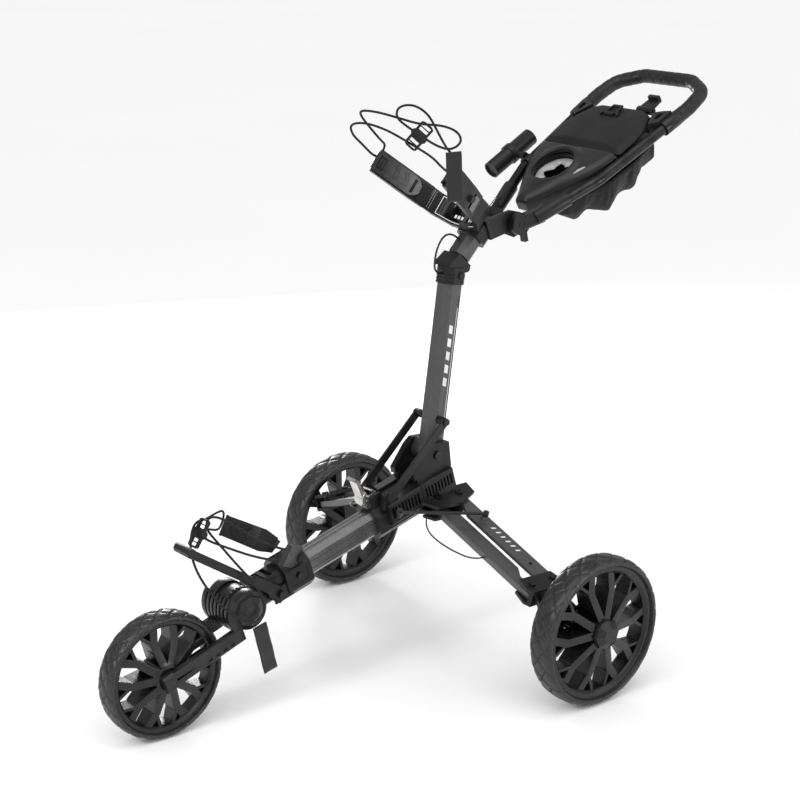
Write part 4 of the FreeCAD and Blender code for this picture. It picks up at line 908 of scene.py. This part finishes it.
def grip():
    """The grip's rubber: rounded segments one after another, with a narrow seam between each two."""
    line = [p for p in rail_line(1.0) if p.y > GRIP_FROM + 1]

    def radius_at(run, turn):
        share = (run / MM / SEGMENT_PITCH) % 1.0
        seam = max(0.0, 1 - min(share, 1 - share) / 0.06)
        ridge = 0.35 if math.cos(3 * turn) > 0.9 else 0.0
        return (GRIP_R - 0.9 * seam - 0.5 * (2 * share - 1) ** 4 - ridge) * MM

    piece = tube_along("grip_segments", [on_handle(p.x, p.y) for p in line], radius_at, sides=36)
    dressed(piece, "grip_rubber", "handle", "grip_rubber", "grip_sleeve")
    # end rings of the wrap
    for name, at_end in (("grip_ring_left", line[:3]), ("grip_ring_right", line[-3:])):
        way = (at_end[-1] - at_end[0]).normalized()
        mid = at_end[0] if name.endswith("left") else at_end[-1]
        ends = [mid - way * 4, mid - way * 2, mid + way * 2, mid + way * 4]
        ring = tube_along(name, [on_handle(p.x, p.y) for p in ends],
                          lambda run, turn: (14.9 if 1.5 < run / MM < 6.5 else 14.0) * MM, sides=32)
        dressed(ring, "black_plastic", "handle", "black_plastic")


LID_FRONT = 190.0
LID_BACK = 337.5
LEAF_SIDE = [(14, 10), (34, 42), (62, 84), (90, 130), (104, 165), (110, 205), (110, 250), (100, 290),
             (80, 325), (58, 338)]
LEAF = [Vector(p) for p in LEAF_SIDE] + [Vector((-x, t)) for x, t in reversed(LEAF_SIDE)]
CUP = Vector((0, 118))
HINGE_T = LID_FRONT + 2
EDGE_H, EDGE_ROUND, CROWN_RUN = 9.8, 17, 95
FINE_SIDES = 144
LIP = [(45.6, -9.0), (45.6, -3.2), (46.6, -1.0), (48.6, -0.15), (50.6, 0.0)]
COLLAR_R = LIP[-1][0]
HOOD_ROWS = 26


def edge_distance(p):
    """How far a point of the handle's plane lies inside the console's outline."""
    nearest = 1e9
    for a, b in zip(LEAF, LEAF[1:] + LEAF[:1]):
        side = b - a
        share = min(1.0, max(0.0, (p - a).dot(side) / side.length_squared))
        nearest = min(nearest, (p - a - side * share).length)
    return nearest


def half_width(t):
    """Half of the console's width at t."""
    for (x0, t0), (x1, t1) in zip(LEAF_SIDE, LEAF_SIDE[1:]):
        if min(t0, t1) <= t <= max(t0, t1) and t0 != t1:
            return x0 + (x1 - x0) * (t - t0) / (t1 - t0)
    return LEAF_SIDE[-1][0]


def skin_height(p):
    """Height of the console's skin: rounded up from its edge, slightly crowned, and low at the lid's hinge.

    Behind the hinge it climbs slowly, so that the opened lid's front edge clears the hood.
    """
    inside = edge_distance(p)
    round_up = 1 - min(1.0, inside / EDGE_ROUND)
    crown = min(1.0, inside / CROWN_RUN)
    full = EDGE_H + 13.0 * math.sqrt(1 - round_up * round_up) + 6.0 * crown * (2 - crown)
    behind = p.y - HINGE_T
    valley = 15.9 + 0.6 * min(behind, 10) + 1.2 * max(0.0, behind - 10) if behind > 0 else 20.3 - behind
    near = max(0.0, 3.0 - abs(full - valley)) / 3.0
    return min(full, valley) - 0.75 * near * near


def reach(centre, way, low, high):
    """Distance from centre to the console's outline, or to the lines t = low and t = high."""
    best = 1e9
    for a, b in zip(LEAF, LEAF[1:] + LEAF[:1]):
        side = b - a
        cross = way.x * side.y - way.y * side.x
        if abs(cross) < 1e-9:
            continue
        out = ((a.x - centre.x) * side.y - (a.y - centre.y) * side.x) / cross
        share = ((a.x - centre.x) * way.y - (a.y - centre.y) * way.x) / cross
        if out > 0 and -1e-6 <= share <= 1 + 1e-6:
            best = min(best, out)
    for limit in (low, high):
        if abs(way.y) > 1e-9 and (limit - centre.y) / way.y > 0:
            best = min(best, (limit - centre.y) / way.y)
    return best


def compass(i):
    """Direction i of FINE_SIDES in the handle's plane."""
    turn = around(i, FINE_SIDES)
    return Vector((math.cos(turn), math.sin(turn)))


def lid():
    """The lid: a domed shell 3 mm thick behind the hinge line."""
    heart, rows = Vector((0, 266)), 22
    rings = []
    for k in range(rows):
        share = math.sin(math.pi / 2 * (k + 0.02) / (rows - 1 + 0.02))
        rings.append([heart + compass(i) * share * (reach(heart, compass(i), HINGE_T + 1.2, LID_BACK) - 0.6)
                      for i in range(FINE_SIDES)])
    vertices = [on_handle(p.x, p.y, skin_height(p)) for ring in rings for p in ring]
    for k, ring in enumerate(reversed(rings)):
        wall = 3.2 if k else 14
        vertices += [on_handle(p.x, p.y, max(10.2, skin_height(p) - wall)) for p in ring]
    faces = grid_faces(2 * rows, FINE_SIDES)
    last = (2 * rows - 1) * FINE_SIDES
    faces += [tuple(reversed(range(FINE_SIDES))), tuple(range(last, last + FINE_SIDES))]
    return outward(mesh_object("lid_shell", vertices, faces))


def hood():
    """The console's front skin: it rises to a rounded collar about the cup, highest behind it."""
    rings = [[] for _ in range(len(LIP) + HOOD_ROWS)]
    for i in range(FINE_SIDES):
        way = compass(i)
        edge = reach(CUP, way, 4, HINGE_T - 1.8) - 0.3
        swell = 3.5 + 5.5 * max(0.0, 0.35 + 0.65 * way.y)
        crest = skin_height(CUP + way * COLLAR_R) + swell
        for k, (r, drop) in enumerate(LIP):
            p = CUP + way * r
            rings[k].append(on_handle(p.x, p.y, crest + drop))
        for k in range(HOOD_ROWS):
            share = math.sin(math.pi / 2 * (k + 1) / HOOD_ROWS)
            r = COLLAR_R + (edge - COLLAR_R) * share
            p = CUP + way * r
            fall = (r - COLLAR_R) / (10 if way.y > -0.2 else 15)
            rise = swell * math.exp(-fall * fall) * (1 - share ** 6)
            rings[len(LIP) + k].append(on_handle(p.x, p.y, skin_height(p) + rise))
    vertices = [v for ring in rings for v in ring]
    vertices += [v - HANDLE_UP * 1.5 * MM for v in rings[-1]] + [v - HANDLE_UP * 3 * MM for v in rings[0]]
    return outward(mesh_object("cup_hood", vertices, grid_faces(len(rings) + 2, FINE_SIDES, True, True)))


def cup():
    """The cup's black wall, and the pale gripping ring with its star-shaped opening."""
    axis, sides = on_handle(CUP.x, CUP.y), 72
    across = Vector((1, 0, 0))

    def turned(name, profile, shape=None):
        vertices = []
        for r, h in profile:
            for k in range(sides):
                t = around(k, sides)
                reached = shape(k, r) if shape else r
                vertices.append(axis + (across * math.cos(t) + HANDLE_DIR * math.sin(t)) * reached * MM
                                + HANDLE_UP * h * MM)
        return outward(mesh_object(name, vertices, grid_faces(len(profile), sides, True, True)))

    wall = turned("cup_wall", [(39, -30), (42, -29), (45.2, 4), (45.2, 13), (43.6, 13), (43.4, 4),
                               (40.4, -27)])
    dressed(wall, "black_plastic", "handle", "light_grey_rubber", "cup_liner")

    def star(k, r):
        if r > 40:
            return r
        wave = abs((k / 12) % 1.0 * 2 - 1)
        return r + 13 * wave

    ring = turned("cup_grip_ring", [(43.3, 12.0), (25, 4.5), (25, 2.5), (43.3, 9.5)], star)
    dressed(ring, "cup_rubber", "handle", "light_grey_rubber")


def console():
    dressed(lid(), "lid_skin", "lid", "grey_plastic", "console_lid")
    lugs = [prism("lug", [(sx * 20, 291), (sx * 24, 291), (sx * 24, 301), (sx * 20, 301)], on_handle, 22, 33)
            for sx in (-1, 1)]
    dressed(rounded(joined("lid_lugs", lugs)), "black_plastic", "lid", "black_plastic")
    dressed(hood(), "satin_plastic", "handle", "black_plastic")
    cup()

    def trim(i, j, level):
        """The pale strip beside the cup: widest in its middle, and pointed at both ends."""
        t = 66 + 66 * i / 19
        wide = 9 * math.sin(math.pi * (0.04 + 0.92 * i / 19)) ** 0.6
        p = Vector((half_width(t) - 15 + (j / 4 - 0.5) * wide, t))
        return on_handle(p.x, p.y, skin_height(p) + (1.1 * level - 0.6))

    strip = slabbed("cup_trim", 20, 5, trim)
    dressed(strip, "pale_trim", "handle", "grey_plastic")


# ---- storage bag

BAG_RINGS = [(64, 34, -52), (110, 72, -84), (170, 96, -104), (240, 102, -96), (300, 92, -80),
             (326, 72, -62)]
BAG_TOP = -30.0
CLOTH_FRAMES = 22


def bag_size(t):
    """Half width and lowest height of the bag at t along the handle."""
    row = [Vector(r) for r in BAG_RINGS]
    t = min(max(t, row[0].x), row[-1].x)
    for a, b in zip(row, row[1:]):
        if a.x <= t <= b.x:
            share = (t - a.x) / (b.x - a.x)
            share = share * share * (3 - 2 * share) * 0.5 + share * 0.5
            return a.y + (b.y - a.y) * share, a.z + (b.z - a.z) * share
    return row[-1].y, row[-1].z


def bag():
    """A mesh bag hung from the console's rim: gathered at the top, sagging below, with pleats along it."""
    rows, columns = 66, 72
    first, last = BAG_RINGS[0][0], BAG_RINGS[-1][0]
    vertices = []
    for i in range(rows):
        t = first + (last - first) * i / (rows - 1)
        half, low = bag_size(t)
        end = min(1.0, min(i, rows - 1 - i) / 7)
        end = math.sqrt(end * (2 - end))
        for j in range(columns):
            u = 2 * j / (columns - 1) - 1
            bow = math.pi * u / 2
            x = half * math.copysign(abs(math.sin(bow)) ** 0.72, u)
            drop = abs(math.cos(bow)) ** 0.72
            depth = (BAG_TOP - low) * drop * (0.35 + 0.65 * end)
            fold = abs((t / 74 + 0.42 * u + 0.2 * math.sin(2.1 * u)) % 1.0 * 2 - 1)
            pleat = (fold - 0.5) * 15 * drop ** 0.7
            crease = noise.noise(Vector((x / 26, t / 20, 3.1))) * 4.0 * drop
            x *= 0.965 + 0.02 * noise.noise(Vector((t / 20, u * 3, 9.0)))
            vertices.append(on_handle(x, t, min(BAG_TOP - depth + pleat + crease + 3.5 * drop, BAG_TOP)))
    piece = mesh_object("mesh_bag", vertices, grid_faces(rows, columns, False))
    group = piece.vertex_groups.new(name="rim")
    edge = [i * columns + j for i in range(rows) for j in (0, 1, columns - 2, columns - 1)]
    edge += list(range(columns)) + [(rows - 1) * columns + j for j in range(columns)]
    group.add(sorted(set(edge)), 1.0, "REPLACE")
    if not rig.quick():
        settle(piece, "rim", 0.007)
    shell = piece.modifiers.new("Cloth thickness", "SOLIDIFY")
    shell.thickness = 0.0009
    shell.offset = 0
    return piece


def settle(piece, pins, cap):
    """Lets the cloth fall under gravity from its pinned rim, and keeps each point within cap of its start."""
    start = [v.co.copy() for v in piece.data.vertices]
    cloth = piece.modifiers.new("Cloth", "CLOTH")
    settings = cloth.settings
    settings.quality = 5
    settings.mass = 0.12
    settings.tension_stiffness = 18
    settings.compression_stiffness = 12
    settings.bending_stiffness = 0.08
    settings.vertex_group_mass = pins
    settings.shrink_min = -0.035
    cloth.collision_settings.use_collision = False
    scene = bpy.context.scene
    cloth.point_cache.frame_start, cloth.point_cache.frame_end = 1, CLOTH_FRAMES
    for number in range(1, CLOTH_FRAMES + 1):
        scene.frame_set(number)
    bpy.context.view_layer.update()
    held = piece.evaluated_get(bpy.context.evaluated_depsgraph_get()).to_mesh()
    places = [v.co.copy() for v in held.vertices]
    piece.evaluated_get(bpy.context.evaluated_depsgraph_get()).to_mesh_clear()
    piece.modifiers.remove(cloth)
    for vertex, first, now in zip(piece.data.vertices, start, places):
        move = now - first
        if move.length > cap:
            move = move * (cap / move.length)
        vertex.co = first + move
    scene.frame_set(1)
    piece.data.update()


def storage():
    piece = bag()
    dressed(piece, "mesh_fabric", "handle", "mesh_fabric", "storage_bag")
    # the cut is the CAD bag's wall laid flat: 316.4 cm3 of wall 4 mm thick, 0.27 m round its widest ring
    # and 0.34 m along its lowest line with both ends; it isn't taken from this mesh
    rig.sheet(piece, flat=(0.27, 0.34), held="gathered", rests_on=["console_base"], area=0.0791)


# ---- webbing

def strap(name, node, top, bottom, wide, body, bulge):
    """Flat webbing between two points: a strip that bows gently."""
    along = (bottom - top).normalized()
    across = (wide - along * wide.dot(along)).normalized()
    out = along.cross(across)
    rows, columns = 26, 9
    width, thick = 0.030, 0.0016

    def point(i, j, level):
        share, u = i / (rows - 1), 2 * j / (columns - 1) - 1
        bow = math.sin(math.pi * share) * bulge + 0.0006 * math.sin(14 * share) + 0.0004 * u * u
        return top.lerp(bottom, share) + across * (u * width / 2) + out * (bow + (level - 0.5) * thick)

    piece = slabbed(name, rows, columns, point)
    dressed(piece, "webbing", body, "webbing", node)
    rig.sheet(piece, flat=(width, (bottom - top).length + 0.001), held="hung", rests_on=[])


def straps():
    bulge = 0.0006
    strap("lower_webbing", "lower_tab", at(68, -540, 192), at(68, -517, 96), Vector((0, 1, 0)), "frame",
          bulge)
    strap("upper_webbing", "upper_tab", at(124, -131, 1027), at(123, -125, 935), Vector((0.4, 0.92, 0)),
          "neck", bulge)


# ---- printed and fitted details

def upright_print():
    """Plain stripes on the upright's left and right faces, where such a frame carries its markings."""
    for sign, side in ((1, "left"), (-1, "right")):
        def place(u, v, h, sign=sign):
            return on_upright(sign * (22 + h), u, v)
        line = prism("upright_line_" + side, block(-8.4, -7.2, 24, 268), place, -0.1, 0.22)
        dressed(line, "white_print", "upright", "anodised_grey")
        strip = prism("upright_strip_" + side, block(-11, -8.4, 20, 290), place, -0.1, 0.3)
        dressed(strip, "gloss_black", "upright", "anodised_grey")
        blocks = []
        for low in range(112, 217, 26):
            slanted = [(-2, low), (7, low + 3), (7, low + 19), (-2, low + 16)]
            blocks.append(prism("block", slanted, place, 0.02, 0.24))
        marks = joined("upright_marks_" + side, blocks)
        dressed(marks, "white_print", "upright", "anodised_grey")


def course(points):
    """Places along an outline of the cradle: s along it, w up the bag and h off its left side."""
    row = [Vector(p) for p in points]
    starts = [0.0]
    for a, b in zip(row, row[1:]):
        starts.append(starts[-1] + (b - a).length)

    def place(s, w, h):
        i = max([k for k in range(len(row) - 1) if starts[k] <= s] or [0])
        way = (row[i + 1] - row[i]).normalized()
        p = row[i] + way * (s - starts[i]) + Vector((-way.y, way.x)) * h
        return on_cradle(p.x, p.y, w)

    return place


CRADLE_INSIDE = [(-106, 191), (-94, 150), (-80, 104), (-67, 61), (-60, 40), (-34, 9), (0, 1), (34, 9),
                 (60, 40), (66, 62)]
ARM_OUTSIDE = [(113, 188), (104, 150), (90, 100), (75, 61)]


def fitted(piece, finish):
    """A detail of the cradle, which swings with the neck."""
    return dressed(piece, finish, "neck", "black_plastic")


def ribbon(name, place, s0, s1, half, height, finish, steps):
    """A strip laid along a course: half(s) is half its width, and height(s, u) its upper side."""
    columns = 9

    def point(i, j, level):
        s, u = s0 + (s1 - s0) * i / (steps - 1), 2 * j / (columns - 1) - 1
        return place(s, u * half(s), height(s, u) if level else -0.6)

    return fitted(slabbed(name, steps, columns, point), finish)


def chevrons(name, place, starts, finish, low, high, sense, wide):
    """Raised V-shaped ribs across a pad."""
    ribs = []
    for s in starts:
        row = [(s + sense * 7, wide), (s, 5), (s, -5), (s + sense * 7, -wide)]
        outline = row + [(u + 1.4, v) for u, v in reversed(row)]
        ribs.append(prism("rib", outline, place, low, high))
    return fitted(joined(name, ribs), finish)


def frame_ring(name, place, s0, s1, half, band, low, high, finish):
    """A narrow rectangular ring on a pad, in pieces short enough to follow its course."""
    outlines = []
    steps = max(2, round((s1 - s0) / 8))
    for k in range(steps):
        a, b = s0 + (s1 - s0) * k / steps, s0 + (s1 - s0) * (k + 1) / steps
        outlines += [block(a, b, -half, band - half), block(a, b, half - band, half)]
    outlines += [block(s0, s0 + band, -half, half), block(s1 - band, s1, -half, half)]
    return fitted(joined(name, [prism("run", outline, place, low, high) for outline in outlines]), finish)


def printed(name, finish, place, low, high, outlines):
    """Several flat marks of one finish."""
    return fitted(joined(name, [prism("mark", outline, place, low, high) for outline in outlines]), finish)


def mirrored_place(place, s, w, h):
    p = place(s, w, h)
    return Vector((-p.x, p.y, p.z))


def paddle_half(s):
    """Half the width of an arm's pad, whose root is rounded."""
    return 20.5 if s < 88 else 20.5 * math.sqrt(max(0.02, 1 - ((s - 88) / 25) ** 2))


def cradle_details():
    """Pads, band, panel and ribs on the cradle's arms and bag rest."""
    inside = course(CRADLE_INSIDE)
    outside = course(list(reversed(ARM_OUTSIDE)))
    for side, place in (("right", inside), ("left", lambda s, w, h: mirrored_place(inside, s, w, h))):
        ribbon("pad_" + side, place, 1.5, 113, paddle_half, lambda s, u: 0.9 + 2.0 * u ** 4, "paddle", 44)
        chevrons("pad_ribs_" + side, place, (50, 57, 74, 81), "paddle", 0.5, 2.2, -1, 14)
        slot = prism("slot", block(93, 99, -15, 15), place, 0.5, 1.5)
        frame = prism("frame", block(9, 24, -13, 13), place, 0.5, 1.8)
        fitted(joined("pad_slots_" + side, [slot, frame]), "gloss_black")
        printed("pad_bars_" + side, "dark_steel", place, 1.0, 2.3, [block(s, s + 2, -9, 9) for s in (12, 19)])
    ribbon("band", inside, 115, 157, lambda s: 20.5, lambda s, u: 0.7, "band_fabric", 12)
    printed("band_stitches", "pale_trim", inside, 0.5, 1.15,
            [block(s, s + 0.9, w, w + 3.2) for s in (139.5, 144.5) for w in range(-19, 17, 5)])
    for k, (a, b) in enumerate(((159.0, 198.0), (198.6, 232.8), (233.6, 267.8), (268.4, 300.0))):
        ribbon("panel_%d" % k, inside, a, b, lambda s: 21.5, lambda s, u: 0.8, "gloss_black", 3)
    frame_ring("panel_outline", inside, 161, 298, 19.5, 1.5, 0.6, 1.15, "white_print")
    printed("panel_lime", "lime_print", inside, 0.6, 1.2, [block(s, s + 4, 4, 13) for s in (236, 243, 250)])
    printed("panel_white", "white_print", inside, 0.6, 1.2,
            [block(s, s + 5, -9, -2) for s in (200, 208, 216, 236, 244, 252)])
    chevrons("arm_ribs", outside, (48, 62, 76, 90), "satin_plastic", -0.3, 1.3, 1, 19)
    fitted(rounded(prism("arm_plate", block(6, 24, -15, 15), outside, -0.3, 1.8), 0.8), "mid_print")


BAR_Y, BAR_TOP = 47, 10.2


def leg_marks():
    """Plain slanted marks on each flat leg bar, and the dark screw at its outer end."""
    for side, sign in (("left", 1), ("right", -1)):
        def place(u, v, h, sign=sign):
            return on_leg(u, BAR_Y + v, BAR_TOP + h, sign)
        marks = []
        for a in range(112, 188, 15):
            marks.append(prism("mark", [(a, -1), (a + 4, -1), (a + 7, 8), (a + 3, 8)], place, -0.1, 0.25))
        dressed(joined("leg_marks_" + side, marks), "white_print", "bar_" + side, "anodised_grey")
        screw = head("leg_screw_" + side, on_leg(232, BAR_Y, BAR_TOP - 0.1, sign),
                     Vector((sign * LEG_UP.x, 0, LEG_UP.z)), 4 * MM, 1.6 * MM)
        dressed(screw, "dark_steel", "bar_" + side, "anodised_grey")


def pair(name):
    return [name + "_left", name + "_right"]


def cad_finishes():
    """Materials of the CAD nodes that stay, with soft edges."""
    finishes = {
        "anodised_grey": ["upright_tube", "neck_tube"],
        "beam_grey": ["main_beam"],
        "leg_grey": pair("leg_tube") + pair("leg_bar"),
        "black_plastic": ["hub_core", "hub_plates", "fold_housing", "lower_bracket", "bracket_arms",
                          "base_rest", "slide_collar", "elbow_lower", "elbow_upper", "cradle_base",
                          "cradle_arms", "handle_sockets", "umbrella_clamp", "umbrella_tube",
                          "lower_buckle", "upper_buckle", "brake_lever", "lid_latch", "elbow_button"]
                         + pair("wheel_carrier") + pair("brake_pawl"),
        "satin_plastic": ["console_base", "fork_arms", "fork_yoke", "folding_links"],
        "grey_plastic": pair("spreader_rod"),
        "rim_plastic": ["front_rim"] + pair("rear_rim") + pair("brake_ring"),
        "bright_metal": ["clamp_lever"],
        "dark_steel": ["frame_fasteners", "fork_pins", "upright_pins"],
        "rail_black": ["handle_tube"],
    }
    for finish, nodes in finishes.items():
        for node in nodes:
            piece = NODES[node]
            piece.data.materials.clear()
            piece.data.materials.append(M[finish])
            if node not in ("handle_tube", "frame_fasteners", "main_beam"):
                rounded(piece)


cad_finishes()
camera_and_stage()
cords()
wheels()
grip()
console()
storage()
straps()
upright_print()
cradle_details()
leg_marks()

with open("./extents.json", "w") as out:
    json.dump({"cad": [list(map(float, corner)) for corner in CAD_BOX],
               "visual": [list(map(float, corner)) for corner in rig.bounds()]}, out)
